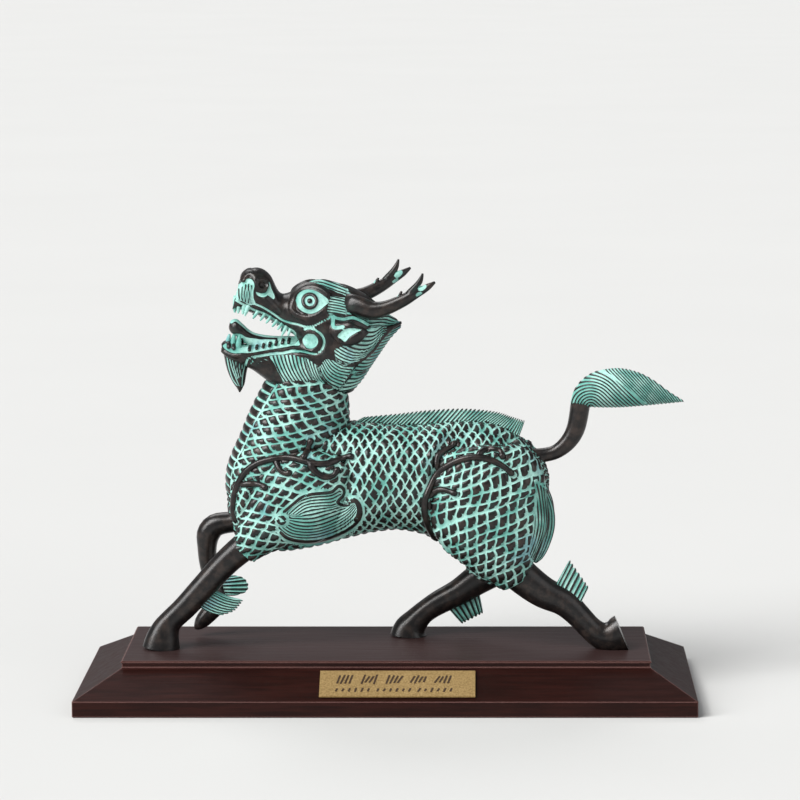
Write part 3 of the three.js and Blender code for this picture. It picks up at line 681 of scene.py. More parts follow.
index = rows_tree.nodes.new("GeometryNodeInputIndex").outputs[0]
mark = calc("FLOOR", calc("DIVIDE", calc("ADD", index, 0.5), given["Strokes"]))
bar_number = calc("SUBTRACT", index, calc("MULTIPLY", mark, given["Strokes"]))

# %% [markdown]
# Both rows are laid out from their own middle. A line of points is moved to the marks' places, a
# small bar is set on each, and the bars are made real at the end, so that they are exported.

# %% The bars along a row


def from_middle(number, count, pitch):
    half = calc("MULTIPLY_ADD", count, 0.5, -0.5)
    return calc("MULTIPLY", calc("SUBTRACT", number, half), pitch)


mark_place = from_middle(mark, given["Marks"], given["Mark Pitch"])
bar_place = from_middle(bar_number, given["Strokes"], given["Stroke Pitch"])
place = added("ShaderNodeCombineXYZ", X=calc("ADD", mark_place, bar_place))
line = added("GeometryNodeMeshLine", Count=calc("MULTIPLY", given["Marks"], given["Strokes"]))
spread = added("GeometryNodeSetPosition", Geometry=line.outputs[0], Position=place.outputs[0],
               Offset=given["Offset"])
bar = added("GeometryNodeMeshCube", Size=given["Bar"])
lean = added("ShaderNodeCombineXYZ", Z=random_between(-0.5, -0.2, 0))
reach = added("ShaderNodeCombineXYZ", X=1.0, Y=random_between(0.55, 1.0, 7), Z=1.0)
bars = added("GeometryNodeInstanceOnPoints", Points=spread.outputs[0], Instance=bar.outputs[0],
             Rotation=lean.outputs[0], Scale=reach.outputs[0])
real = added("GeometryNodeRealizeInstances", Geometry=bars.outputs[0])
inked = added("GeometryNodeSetMaterial", Geometry=real.outputs[0], Material=given["Finish"])
both = rows_tree.nodes.new("GeometryNodeJoinGeometry")
rows_tree.links.new(inked.outputs[0], both.inputs[0])
rows_tree.links.new(given["Plate"], both.inputs[0])
rows_tree.links.new(both.outputs[0], rows_tree.nodes.new("NodeGroupOutput").inputs[0])
print("rows of strokes:", len(rows_tree.nodes), "nodes")

# %% [markdown]
# The strip is 65 mm long, 16.4 mm high and 0.8 mm thick, with its edges just broken. It is made
# flat, with the rows of strokes on it, and then leaned back onto the slope. The strokes are
# shallow, because the lettering of such a plate is etched and filled, not carved.

# %% The plate
PLATE_SIZE, PLATE_EDGE = (0.065, 0.0164, 0.0008), 0.00015
PLATE_PLACE, SLOPE = (0.005, -0.0447, 0.0118), math.atan2(10, 18.6)
LARGE = {
    "Marks": 5, "Strokes": 4, "Mark Pitch": 0.0103, "Stroke Pitch": 0.0017, "Bar": (0.0008, 0.0064, 0.0003),
    "Offset": (-0.0015, 0.0024, 0.00108), "Seed": 3, "Finish": ink,
}
SMALL = {
    "Marks": 3, "Strokes": 6, "Mark Pitch": 0.0172, "Stroke Pitch": 0.00265, "Bar": (0.0008, 0.0028, 0.0003),
    "Offset": (-0.0015, -0.0042, 0.00108), "Seed": 11, "Finish": ink,
}


def block_of(name, size, middle, edge=0):
    """A block whose edges are broken by edge, or sharp where that is 0."""
    block = bmesh.new()
    bmesh.ops.create_cube(block, size=1)
    bmesh.ops.transform(block, matrix=Matrix.Diagonal((*size, 1)), verts=block.verts)
    bmesh.ops.translate(block, vec=middle, verts=block.verts)
    if edge:
        bmesh.ops.bevel(block, geom=block.edges[:], offset=edge, segments=2, affect="EDGES")
    mesh = bpy.data.meshes.new(name)
    block.to_mesh(mesh)
    block.free()
    return mesh


plate = object_of(block_of("plate", PLATE_SIZE, (0, 0, 0.0007), PLATE_EDGE))
plate.data.materials.append(brass)
for settings in (LARGE, SMALL):
    row = plate.modifiers.new("row", "NODES")
    row.node_group = rows_tree
    for title, value in settings.items():
        row[socket_of[title]] = value
finished = baked(plate)
plate.modifiers.clear()
plate.data = finished
finished.transform(Matrix.Translation(PLATE_PLACE) @ Matrix.Rotation(SLOPE, 4, "X"))
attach(plate, "root")
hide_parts("name_plate")
print("plate:", len(finished.polygons), "faces")

# %% [markdown]
# ## Drawing on the wax
# The fine work is drawn in the side view, as a modeller scores wax: strokes along a line, patches
# inside an outline, and locks of strands between two guide lines. Each mark is left bare metal or
# green, and lifted or sunk a little. The marks are kept as distances in millimetres.

# %% Strokes, patches and locks


def distance_to(line, x, z):
    """The distance in the side view from each point to a smoothed line."""
    line = np.array(line, float)
    path = smooth_rows(line, 6 * len(line)) if len(line) > 2 else line
    best = np.full(np.shape(x), 1e9)
    for (ax, az), (bx, bz) in zip(path[:-1], path[1:]):
        run = max((bx - ax) ** 2 + (bz - az) ** 2, 1e-9)
        t = np.clip(((x - ax) * (bx - ax) + (z - az) * (bz - az)) / run, 0, 1)
        best = np.minimum(best, np.hypot(x - ax - t * (bx - ax), z - az - t * (bz - az)))
    return best


def inside_by(outline, x, z):
    """How far each point is inside a smoothed closed outline, and below 0 outside it."""
    line = np.array(outline + outline[:1], float)
    path = smooth_rows(line, 3 * len(line))
    crossed = np.zeros(np.shape(x), bool)
    for (ax, az), (bx, bz) in zip(path[:-1], path[1:]):
        if az != bz:
            at = ax + (z - az) * (bx - ax) / (bz - az)
            crossed ^= ((az > z) != (bz > z)) & (x < at)
    gap = distance_to(line, x, z)
    return np.where(crossed, gap, -gap)

# %% [markdown]
# A mark is a short note of what to draw: its kind, its points, its width, whether it is left bare,
# and how far it is lifted. Most of the beast's details can then be listed like a table. The drawing
# is projected from the camera's place, because it was traced from that side.

# %% Marks and where they fall
STRAND_DEPTH = 0.5


def stroke(points, width, bare=False, lift=-0.35):
    return ("stroke", points, width, bare, lift)


def patch(points, bare=False, lift=-0.3):
    return ("patch", points, 0, bare, lift)


def ring(centre, radius, width, bare, lift):
    turn = np.linspace(0, 2 * math.pi, 17)
    points = np.stack([centre[0] + radius * np.cos(turn), centre[1] + radius * np.sin(turn)], 1).tolist()
    return stroke(points, width, bare, lift)


def fan(guides, counts, outline):
    """Strands between guide lines, with a count for each gap, inside an outline."""
    return ("locks", (guides, outline), counts, None, -STRAND_DEPTH)


def locks(first, last, count):
    """A lock of so many strands between its first and its last one."""
    return fan([first, last], [count - 1], first + last[::-1])


def on_view(grid, depth=0.0):
    """Where each point, brought to the near side, is seen from the camera on an upright plane."""
    near = grid.copy()
    near[:, :, 1] = -np.abs(near[:, :, 1])
    flat = EYE_POINT + (near - EYE_POINT) * (depth - EYE_POINT[1]) / (near[:, :, 1:2] - EYE_POINT[1])
    return flat[:, :, 0], flat[:, :, 2]

# %% [markdown]
# Hair is drawn in locks. Two lines guide the first and the last strand, and the ones between them
# fan out evenly. Later marks lie over earlier ones, as a later cut does in wax.

# %% Drawing the marks
SOFT_EDGE = 0.45


def strand_number(guides, counts, x, z):
    """Counts strands from the first guide line to the last, and between them in parts."""
    smooth = [smooth_rows(line, 12) for line in guides]
    lines = []
    for a, b, count in zip(smooth[:-1], smooth[1:], counts):
        lines += [a + (b - a) * step / count for step in range(count)]
    gaps = np.stack([distance_to(line, x, z) for line in lines + [smooth[-1]]])
    nearest = (gaps[:-1] + gaps[1:]).argmin(0)[None]
    before = np.take_along_axis(gaps[:-1], nearest, 0)[0]
    after = np.take_along_axis(gaps[1:], nearest, 0)[0]
    return nearest[0] + before / np.maximum(before + after, 1e-6)


def drawn(x, z, marks, bare=True):
    """Runs through the marks: returns the edge, the height, the strand count and how far within a lock."""
    edge = np.full(x.shape, REACH if bare else -REACH)
    height, strand, within = np.zeros(x.shape), np.zeros(x.shape), np.full(x.shape, -REACH)
    for kind, points, width, mark_bare, lift in marks:
        if kind == "locks":
            guides, outline = points
            inner = inside_by(outline, x, z)
            own = strand_number(guides, width, x, z)
            wins = inner > within
            strand, within = np.where(wins, own, strand), np.where(wins, inner, within)
            height = np.where(inner > 0, lift * (0.5 + 0.5 * wave(own)), height)
            continue
        inner = inside_by(points, x, z) if kind == "patch" else width / 2 - distance_to(points, x, z)
        edge = np.maximum(edge, inner) if mark_bare else np.minimum(edge, -inner)
        within = np.minimum(within, -inner)
        height += (lift - height) * smoothstep(-SOFT_EDGE, SOFT_EDGE, inner)
    return np.clip(edge, -REACH, REACH), height, strand, np.clip(within, -REACH, REACH)

# %% [markdown]
# ## The scaled body
# The body is five forms: a neck, a barrel, and a lobe for each shoulder and thigh. Each form has
# its own field of scales, as a wax carver would cut them, and the fields meet at the creases. The
# neck's columns run alongside a band of broad throat plates. On the lobes the fields are turned,
# because the scales there follow the limb.

# %% Scaled forms
SCALE_HEIGHT = 0.68

# Slices are belly x, belly z, back x, back z, half width.
NECK = [
    [-41, 130, -21, 124, 9], [-47.5, 121, -18, 112.5, 12], [-52.3, 112.3, -16.8, 101.5, 14.5],
    [-55.8, 105.7, -16.8, 94.5, 16], [-59.5, 97.9, -18, 85, 18], [-63, 89.3, -20.5, 76, 19.5],
    [-66.6, 81.5, -24.5, 67.5, 20.5], [-68.6, 74, -29, 60, 20.5], [-68.4, 66, -35, 54, 19],
    [-65, 58.5, -42, 51, 14],
]
# Upright slices of the barrel are x, belly z, back z, half width.
BARREL = [
    [-67.6, 57, 70, 7], [-66, 53, 75, 13], [-62, 47.6, 80, 18], [-55, 42.6, 86, 21], [-46, 40.8, 91, 22.2],
    [-36, 41.8, 93.6, 22.5], [-26, 44, 94.9, 22.4], [-16, 46.8, 95.5, 22], [-6, 49, 95.3, 21.6],
    [4, 50, 94.6, 21.2], [14, 48.4, 94.6, 20.9], [24, 44, 95.6, 21], [34, 38.4, 96, 21.4],
    [43, 34.8, 95.3, 21.2], [51, 34.2, 92.4, 19.8], [58, 37.2, 87.2, 17], [63, 43, 82.8, 13],
    [66.4, 52, 78.6, 8], [68.2, 61, 73, 3],
]
# Rows of a lobe are x, z, y, half thickness in the side view, half width.
SHOULDER = [
    [-18.5, 81, 13, 4, 8], [-22, 78, 13, 10, 9.8], [-28, 73.5, 13, 17, 10.6], [-35, 68, 13, 20.5, 10.8],
    [-42, 62, 13, 20, 10.6], [-49.3, 55.8, 13, 14.4, 10], [-55.6, 48.6, 12.5, 9.2, 8.6],
    [-59.4, 44, 12, 6.6, 6.8], [-61.2, 42, 12, 5.8, 6.2],
]
FAR_SHOULDER = [
    [-18.5, 79, 13, 4, 8], [-22, 76, 13, 10, 9.8], [-28, 72, 13, 17, 10.6], [-35, 67, 13, 20.5, 10.8],
    [-43, 61.5, 13, 18.5, 10.6], [-53, 56, 13, 14, 10], [-62, 52, 13, 9, 8.5], [-67, 50.6, 13, 6, 6],
]
THIGH = [
    [36, 86.6, 13, 8, 7], [36.4, 84, 13, 15, 9.4], [38, 79, 13, 21.5, 10.4], [40.5, 71.5, 13, 25.5, 11],
    [43, 61, 13.2, 25.5, 11.2], [47.2, 49.5, 13, 22.5, 11], [50.5, 39.5, 12.5, 15.5, 10],
    [53.2, 33, 12, 9.5, 8], [55.5, 29, 12, 6.6, 6.2],
]
FAR_THIGH = THIGH[:4] + [
    [42, 61, 13.2, 25.5, 11.2], [43.5, 49.5, 13, 22, 11], [43.5, 38.5, 13, 15, 9.5],
    [42.5, 31, 13.5, 10, 7.5], [40, 25.5, 14, 7, 6.2],
]

# %% [markdown]
# A plume of long feathers is drawn over the shoulder, with a round knob at its root and two curled
# tips, and a fin runs down behind the thigh. Both were traced as seen, on an upright plane at the
# flank's depth. Fine hairs like these could be tubes of their own, but on the original they are
# only scored, so lines between guides are closer to it.

# %% Plume and haunch fin as drawn
FLANK_DEPTH = -22
PLUME_OUTLINE = [
    [-45.3, 57.6], [-44.5, 59.6], [-42.4, 61.5], [-39.3, 64.2], [-35.8, 66.9], [-31.6, 68.3], [-26.7, 68.8],
    [-22.9, 69.4], [-20.1, 71.8], [-18, 70.2], [-18.3, 67.7], [-20.6, 64.8], [-16.6, 63.4], [-13.8, 66.2],
    [-11.2, 63.5], [-10.9, 59.2], [-13, 55.9], [-16.7, 53.1], [-21.6, 50.6], [-26.9, 48.8], [-31.8, 48.1],
    [-37.4, 48.4], [-42.2, 49.8], [-44.6, 52], [-45.3, 55.4],
]
TOP_EDGE = [
    [-42.2, 60.7], [-39.3, 63.8], [-35.8, 66.2], [-31.6, 67.5], [-26.7, 67.9], [-22.9, 68.5], [-19.7, 70.2],
]
LEAF_TOP = [
    [-38.6, 58.7], [-35.9, 60.6], [-33.8, 61.8], [-31, 62.4], [-26.8, 62.7], [-22.6, 62.9], [-19.6, 64.6],
]
LEAF_FOOT = [
    [-41.1, 58.4], [-37.3, 58.6], [-33.8, 58.5], [-30.3, 58.9], [-26.8, 60], [-21.5, 61.6], [-17, 63.2],
    [-13.8, 65.6],
]
LOWER_MIDDLE = [
    [-42.4, 56.4], [-38.6, 54.4], [-33, 53.7], [-27.5, 54.5], [-22, 56.6], [-17, 59.6], [-12.8, 63.6],
]
LOWER_EDGE = [
    [-45.9, 53.9], [-42.2, 50.4], [-37.3, 49.1], [-31.8, 48.9], [-26.9, 49.8], [-21.6, 51.6], [-16.7, 54.3],
    [-13.2, 57.8], [-11.8, 61.7],
]
PLUME = [
    fan([TOP_EDGE, LEAF_TOP, LEAF_FOOT, LOWER_MIDDLE, LOWER_EDGE], [4, 2, 3, 4], TOP_EDGE + LOWER_EDGE[::-1]),
    stroke(PLUME_OUTLINE[1:-1], 1.4, True, 0.4),
    patch([[-46.9, 57.4], [-44.2, 60.4], [-41.4, 58.6], [-41.4, 55.6], [-44.0, 54.2]], False, 0.2),
    ring([-44.3, 57.3], 1.5, 1.2, True, 0.6),
    stroke([[-13.2, 65.4], [-12, 62.6], [-12.2, 59.8], [-13.6, 57.4]], 1.2, True, 0.5),
]
FIN_OUTLINE = [
    [62.7, 73.4], [66.7, 70.6], [69.6, 66.1], [72, 58.7], [71.6, 53.8], [69.4, 46.7], [65.5, 38.6],
    [62, 39.9], [60.3, 42.8], [61.9, 51], [62.7, 59.2], [63.3, 67.4],
]
FIN_STRAND = 1.55

# %% [markdown]
# Raised vines frame the shoulder and the thigh, each with a few curled shoots. They are listed from
# the curled tip to the root, as x and z on the flank.

# %% Vines as drawn
SHOULDER_VINES = [
    [[-14.1, 83], [-15.2, 84.8], [-18.2, 83.7], [-22.5, 81.9], [-26.8, 81.1], [-31, 81.4], [-34.3, 82.3],
     [-38, 83.4], [-42.8, 84], [-47.1, 83.5], [-52, 82.3], [-55.7, 80.7], [-59, 78], [-61.1, 74.7],
     [-63.1, 70.5], [-64.2, 65], [-64.3, 59.6], [-62.9, 56.3]],
    [[-31.2, 92.2], [-32.1, 90.3], [-32.9, 87.9], [-34, 85.2], [-35.6, 82.8]],
    [[-39.9, 78.4], [-41.3, 77.2], [-43.4, 77.5], [-45, 78.9], [-45.8, 80.8], [-46.8, 83.4]],
    [[-20.4, 80], [-20.8, 78.5], [-22, 76.6], [-24.1, 75.7], [-26.8, 75.9], [-29.5, 77.6], [-31.3, 79.7],
     [-32.8, 82.2]],
    [[-50.3, 69.8], [-51.5, 71.7], [-54.2, 72.7], [-57.4, 72.7], [-61.6, 72.3]],
]
THIGH_VINES = [
    [[53.6, 76.4], [50.6, 79.1], [47.4, 81.3], [42.6, 83.4], [38.3, 84.1], [34.5, 83.8], [29.7, 82.5],
     [24.9, 79.9], [21.7, 77.2], [19, 73.4], [17.1, 69], [16, 64.7], [16.2, 59.8], [17.6, 54.8], [20, 50.5],
     [23.2, 46.9], [26.4, 43.9]],
    [[28.1, 90.8], [28.6, 90], [27.3, 88.3], [24.9, 87.2], [22.2, 85.3], [21.1, 83.2], [21.6, 78.6]],
    [[28.9, 67.4], [28.6, 68.8], [26.5, 69.6], [23.3, 70.4], [20.6, 69.6], [17.4, 67]],
    [[48.2, 83.2], [48.7, 84.8], [47.9, 86.7], [45.8, 87.2], [42.6, 87.4], [39.9, 86.2], [38.2, 84.2]],
]
print("vines:", len(SHOULDER_VINES), "at the shoulder and", len(THIGH_VINES), "at the thigh")

# %% [markdown]
# Scales stop at the vines, the plume and the fin, with a narrow green margin beside them. So each
# point's distance from those is worked out before the scales are cut. Under a shoulder or a thigh
# the neck and the barrel are sunk, which keeps their scales from showing through.

# %% Where the scales stop
PLUME_RIM, FIN_RIM, VINE_RIM = 1.15, 0.2, 1.05
FLANK_FROM, UNDER_FROM, FAR_AWAY = 9, 6, 9.0
LEAST_FACING = 0.12
SINK_SLOPE = 3.5


def in_drawing(grid):
    """How far in millimetres each point is inside the plume or the haunch fin."""
    x, z = on_view(grid, FLANK_DEPTH)
    return np.maximum(inside_by(PLUME_OUTLINE, x, z) + PLUME_RIM, inside_by(FIN_OUTLINE, x, z) + FIN_RIM)


def vine_margin(grid):
    """How far in millimetres each point is outside the vines, the plume and the haunch fin.

    Where the flank turns away from the eye, a distance as seen is longer on the metal.
    """
    x, z = on_view(grid, FLANK_DEPTH)
    facing = np.clip(normals_of(grid)[:, :, 1] * np.sign(grid[:, :, 1]), LEAST_FACING, 1)
    near = np.min([distance_to(line, x, z) for line in SHOULDER_VINES + THIGH_VINES], 0) / facing - VINE_RIM
    near = np.minimum(near, -in_drawing(grid))
    return np.where(np.abs(grid[:, :, 1]) > FLANK_FROM, near, FAR_AWAY)


def under_lobes(grid):
    """How far inside the outline of a shoulder or thigh each point is."""
    x, z = grid[:, :, 0], grid[:, :, 2]
    best = np.full(x.shape, -FAR_AWAY)
    for rows in (SHOULDER, THIGH):
        for cx, cz, _, across, _ in smooth_rows(rows, 24):
            best = np.maximum(best, across - np.hypot(x - cx, z - cz))
    return best * (np.abs(grid[:, :, 1]) > UNDER_FROM)


def sunk(grid, depth, start):
    """Sinks a form by depth where it is further than start under a shoulder or thigh."""
    return carve(grid, -depth * smoothstep(start, start + SINK_SLOPE, under_lobes(grid)))

# %% [markdown]
# Scales are cut in rows and columns. Small waves in both counts make them as uneven as a hand
# would, without any noise that could tear a scale in two.

# %% Cutting the scales
REAR_EDGE, REAR_BEND, REAR_HEIGHT = 68.5, 0.011, 58
LOBE_MIDDLE, FIN_FROM = 13, 40


def hand_cut(row, column):
    """Bends the rows and columns a little, because scales cut by hand are never quite even."""
    row = row + 0.16 * np.sin(1.9 * column + 0.7) + 0.15 * np.sin(0.83 * row + 2.3 * column)
    row = row + 0.1 * np.sin(2.1 * row + 4.9 * column)
    return row, column + 0.05 * np.sin(1.1 * row + 0.4) + 0.05 * np.sin(2.3 * row + 1.7 * column)


def fin_strands(grid):
    """Counts the haunch fin's strands by their distance in plan from its rear edge."""
    rear = REAR_EDGE - REAR_BEND * (grid[:, :, 2] - REAR_HEIGHT) ** 2
    return np.hypot(grid[:, :, 0] - rear, np.abs(grid[:, :, 1]) - LOBE_MIDDLE) / FIN_STRAND


def scaled(grid, row, column, plates=None):
    """Carves scales, and in their place the plume, the haunch fin's strands and the throat plates.

    plates gives how far each point is inside the band of plates, and the plates' own row.
    """
    row, column = hand_cut(row, column)
    edge = vine_margin(grid)
    margin = scale_margin(row, column)
    # A scale rises steeply from its cut line, and then a little more towards its middle.
    height = smoothstep(0.1, 0.8, margin) + 0.3 * smoothstep(0.7, 1.7, margin)
    bands = []
    if plates:
        inside, count = plates
        edge = np.minimum(edge, np.abs(inside))
        plate = smoothstep(0.15, 1.0, PLATE_PITCH * (0.5 - np.abs(count - np.floor(count) - 0.5)))
        height = np.where(inside > 0, plate * 0.9, height)
        bands.append((inside > -0.1, PLATED, (count, 0), edge))
    height = height * smoothstep(0.0, 0.7, edge)
    inside = (in_drawing(grid) > 0) & (np.abs(grid[:, :, 1]) > FLANK_FROM)
    if inside.any():
        drawn_edge, lift, strand, within = drawn(*on_view(grid, FLANK_DEPTH), PLUME, False)
        count, rear = fin_strands(grid), grid[:, :, 0] > FIN_FROM
        lift = np.where(rear, -0.35 * wave(count), lift)
        strand, within = np.where(rear, count, strand), np.where(rear, in_drawing(grid), within)
        height = np.where(inside, lift / SCALE_HEIGHT, height)
        bands.append((inside, CARVED, (strand, within), drawn_edge))
    skin(carve(grid, height * SCALE_HEIGHT), SCALED, (row, column), edge, bands)

# %% [markdown]
# The neck's rows follow its throat and the barrel's follow its back. Along the belly and the throat
# the broad plates count their own rows, in a band 12 mm wide to each side at the throat and 9 mm at
# the belly. The barrel has 20 columns of scales round it.

# %% Neck and barrel
THROAT_BAND, BELLY_BAND = 12, 9
THROAT_ROW, THROAT_COLUMN, BACK_ROW = 2.35, 7.8, 2.15

neck = sunk(rings_of(even_rows(NECK, 88), 132), 2.4, 1.5)
down, throat = lengths_of(neck)[1], neck.shape[1] // 2
chest = length_along(neck[:, throat])[:, None]
band = THROAT_BAND - (down[:, throat, None] - down)
scaled(neck, chest / THROAT_ROW, -band / THROAT_COLUMN, (band, chest / PLATE_PITCH))

x, low, high, half_width = np.array(BARREL, float).T
barrel = sunk(rings_of(even_rows(np.stack([x, low, x, high, half_width], 1), 156), 148), 2.6, 1.0)
along, down = lengths_of(barrel)
side_length = down[:, barrel.shape[1] // 2, None]
band = BELLY_BAND - (side_length - down)
scaled(barrel, along / BACK_ROW, 10 * down / side_length, (band, barrel[:, :, 0] / PLATE_PITCH))

# %% [markdown]
# Shoulders and thighs are lobes that swell out of the barrel. On them the whole field of scales is
# turned against the limb, 1.19 radians at the shoulder and 0.63 at the thigh.

# %% Shoulders and thighs
LOBE_ROW, LOBE_COLUMN = 2.5, 7.6
SHOULDER_TURN, THIGH_TURN = 1.19, 0.63


def lobe(rows, steps, around, side, turn):
    """A shoulder or thigh. The field is turned clockwise from the limb's own direction by turn."""
    grid = limb_rings(np.array(rows, float) * (1, 1, side, 1, 1), steps, around)
    along, down = lengths_of(grid)
    sideways = down - down[:, around // 4][:, None]
    c, s = math.cos(turn), math.sin(turn)
    scaled(grid, (along * c - sideways * s) / LOBE_ROW, (along * s + sideways * c) / LOBE_COLUMN)


lobe(SHOULDER, 72, 108, -1, SHOULDER_TURN)
lobe(FAR_SHOULDER, 52, 84, 1, SHOULDER_TURN)
lobe(THIGH, 78, 108, -1, THIGH_TURN)
lobe(FAR_THIGH, 62, 84, 1, THIGH_TURN)

# %% [markdown]
# ## Vines
# A vine is a thin roll of wax laid on the flank. To find its path, a ray is sent from the camera
# through each drawn point to where it meets the skins made so far. The far side is the mirror
# image. A path is cut off where it would leap from one form to another.

# %% Laying a line on the flank
LEAP = 4


def flank_tree():
    points, faces, start = [], [], 0
    for shell in shells:
        points += shell[0].tolist()
        faces += (shell[1] + start).tolist() + (shell[2] + start).tolist()
        start += len(shell[0])
    return BVHTree.FromPolygons(points, faces)


def laid_on(tree, line, steps, side):
    """Points and normals where a line drawn as seen falls on the flank. The far side is a mirror image."""
    found = []
    mirror = Vector((1, -side, 1))
    eye = Vector(EYE_POINT) * mirror
    for x, z in smooth_rows(line, steps):
        place, normal, _, _ = tree.ray_cast(eye, (Vector((x, FLANK_DEPTH, z)) * mirror - eye).normalized())
        if place:
            found.append([*place, *normal])
    found = np.array(found)
    jumps = np.flatnonzero(np.linalg.norm(np.diff(found[:, :3], axis=0), axis=1) > LEAP)
    found = found[:jumps[0] + 1] if len(jumps) else found
    for _ in range(2):
        found[1:-1] = (found[:-2] + 2 * found[1:-1] + found[2:]) / 4
    return found[:, :3], unit(found[:, 3:])

# %% [markdown]
# The roll is a ring of points carried along the path. It swells to a knob at its curled tip and
# thins towards its root. A curve with a bevel would be the usual way, but the union needs a plain
# closed mesh, and this gives one directly.

# %% Vines over the flanks
VINE_RADIUS = 1.5


def tube(path, normals, radii, around, lift):
    """A round bar along a path, raised by lift."""
    run = unit(np.gradient(path, axis=0))
    side = unit(np.cross(run, normals))
    up = np.cross(side, run)[:, None]
    angle = turn_of(around)[None, :, None]
    offset = side[:, None] * np.cos(angle) + up * np.sin(angle)
    return path[:, None] + up * lift + offset * radii[:, None, None]


def vine(tree, line, side):
    """The line starts at the vine's curled tip, which ends in a knob."""
    path, normals = laid_on(tree, line, 3 * len(line), side)
    gone = length_along(path)
    # A knob at the tip, a thin neck behind it, the full roll from 12 mm on, and both ends rounded.
    radii = VINE_RADIUS * (0.78 + 0.22 * smoothstep(2, 12, gone) + 0.28 * smoothstep(3.4, 1.4, gone))
    radii *= np.minimum(np.sqrt(np.minimum(gone / 1.3 + 0.08, 1)), 0.5 + (gone[-1] - gone) / 3)
    skin(tube(path, normals, radii, 8, 0.25))


flank = flank_tree()
for side in (-1, 1):
    for line in SHOULDER_VINES + THIGH_VINES:
        vine(flank, line, side)
print("body:", len(shells), "forms so far")

# %% [markdown]
# ## Legs
# The legs are smooth black metal. A trotting beast carries its weight on the near forefoot and the
# two hind feet, and the far forefoot is lifted. The hooves widen to a flat sole. The tail's stalk
# is a bare limb too.

# %% Legs
# Rows are x, z, y, half thickness in the side view, half width.
NEAR_FORELEG = [
    [-50, 51, -12, 5, 4.6], [-56.5, 47.2, -12, 6.2, 5.6], [-62.2, 42.8, -12, 6, 5.8],
    [-67.7, 38, -12, 5.7, 5.5], [-72.6, 32.9, -12, 5.5, 5.2], [-79.4, 25.2, -12, 5.4, 5],
    [-86.4, 17.6, -12, 5.1, 4.8], [-92, 12.2, -12, 5, 4.9], [-94.3, 8.8, -12, 5.9, 5.2],
    [-95.8, 4.5, -12, 7.1, 6], [-96.6, 0, -12, 8.1, 6.6],
]
FAR_FORELEG = [
    [-58, 52, 13, 6.4, 6], [-67.5, 50.2, 13, 4.6, 5.2], [-74.6, 48.8, 13, 5, 5], [-77.9, 45, 13, 5.1, 4.8],
    [-78.6, 39.2, 13, 4.2, 4.4], [-78.2, 32.6, 13, 3.9, 4.1], [-76.4, 25, 13, 3.9, 4],
    [-74.6, 18.6, 13, 4.1, 4.1], [-75.3, 13.4, 13, 4.1, 4.1], [-78.3, 9.6, 13, 3.8, 4.1],
    [-81.2, 6.4, 13, 3.2, 3.6], [-83.2, 4.1, 13, 1.9, 2.4], [-84.2, 3.1, 13, 0.5, 0.7],
]
NEAR_HINDLEG = [
    [50, 38, -12, 8, 6.5], [58, 30.5, -12, 7.4, 6], [66, 24.5, -12, 6.8, 5.6], [75, 20, -12, 6, 5.2],
    [81.5, 14, -12, 5.3, 4.8], [86.3, 8.8, -12, 5.2, 4.7], [90.6, 5.6, -12, 5.8, 5.2], [95.2, 5, -12, 7, 5.8],
    [99.8, 6.6, -12, 8, 6.2],
]
FAR_HINDLEG = [
    [47, 30, 14, 7.5, 6.5], [38, 24.5, 14, 6.6, 5.8], [30, 19, 14, 5.8, 5.2], [21.5, 14.5, 14, 5.2, 4.8],
    [15.5, 10.5, 14, 4.9, 4.8], [11.5, 6.5, 14, 5.6, 5.3], [9, 3, 14, 7, 6], [8.4, 0, 14, 8, 6.5],
]
TAIL_STALK = [
    [58, 80, 0, 4.6, 4.2], [65, 81.2, 0, 3.2, 3.2], [71.6, 82.8, 0, 3.1, 3.1], [77, 87.2, 0, 3.6, 3.4],
    [80.4, 93.6, 0, 4, 3.8], [82.2, 104, 0, 4.2, 4.2],
]
for leg in (NEAR_FORELEG, FAR_FORELEG, NEAR_HINDLEG, FAR_HINDLEG):
    skin(limb_rings(leg, 40, 24))
skin(limb_rings(TAIL_STALK, 30, 18))
print("legs and tail:", len(shells), "forms so far")

# %% [markdown]
# ## The head
# The head's bulk is made of skins over slices, like the body: a skull, a lower jaw, a wider mane
# behind the cheeks, a tongue and a beard. One drawing of the face is laid over all of them, as it
# is seen from the camera, so that its lines run on from one form to the next. The far side gets the
# same drawing through the head's own middle plane.

# %% The head's bulk
HEAD_TURN, HEAD_NOD, HEAD_PIVOT = 0.07, 0.01, Vector((-18, 0, 140))
HEAD_POSE = np.array(Matrix.Translation(HEAD_PIVOT) @ Matrix.Rotation(HEAD_TURN, 4, "Z")
                     @ Matrix.Rotation(HEAD_NOD, 4, "Y") @ Matrix.Translation(-HEAD_PIVOT))
# Slices are belly x, belly z, back x, back z, half width.
SKULL = [
    [-65.6, 144, -64, 152, 4.6], [-63.2, 144.2, -62.2, 157.2, 7.4], [-58.6, 143, -58.6, 161, 8.6],
    [-54, 141.3, -54, 161.6, 8.8], [-49.4, 139.4, -49.6, 158.6, 8.6], [-45.3, 137.2, -45.7, 151.4, 8.6],
    [-41.3, 134.6, -41.7, 151.2, 10], [-37.2, 130.5, -37.7, 153.8, 12], [-33, 125, -33, 156, 13.6],
    [-28.5, 118, -28, 157, 14.6], [-24, 114, -22.5, 155.8, 14.8], [-19, 114, -16, 154, 14.2],
    [-14, 118, -10, 151, 12.5], [-9, 124, -5, 147.4, 9],
]
MANE = [
    [-47, 120, -33, 138, 8.4], [-43.5, 114.2, -28.5, 145, 11.2], [-35.5, 109.4, -23.5, 148.6, 13.6],
    [-24, 107.8, -19, 149.6, 16], [-16, 108.4, -15, 149.4, 16.2], [-11, 113, -10.5, 147.6, 14.8],
    [-7, 119, -6, 145.6, 12.4], [-3, 125, -1.6, 143.4, 9.4], [1.6, 131.6, 2.4, 141.2, 5.6],
    [5.8, 136.2, 6, 138.6, 1.6],
]
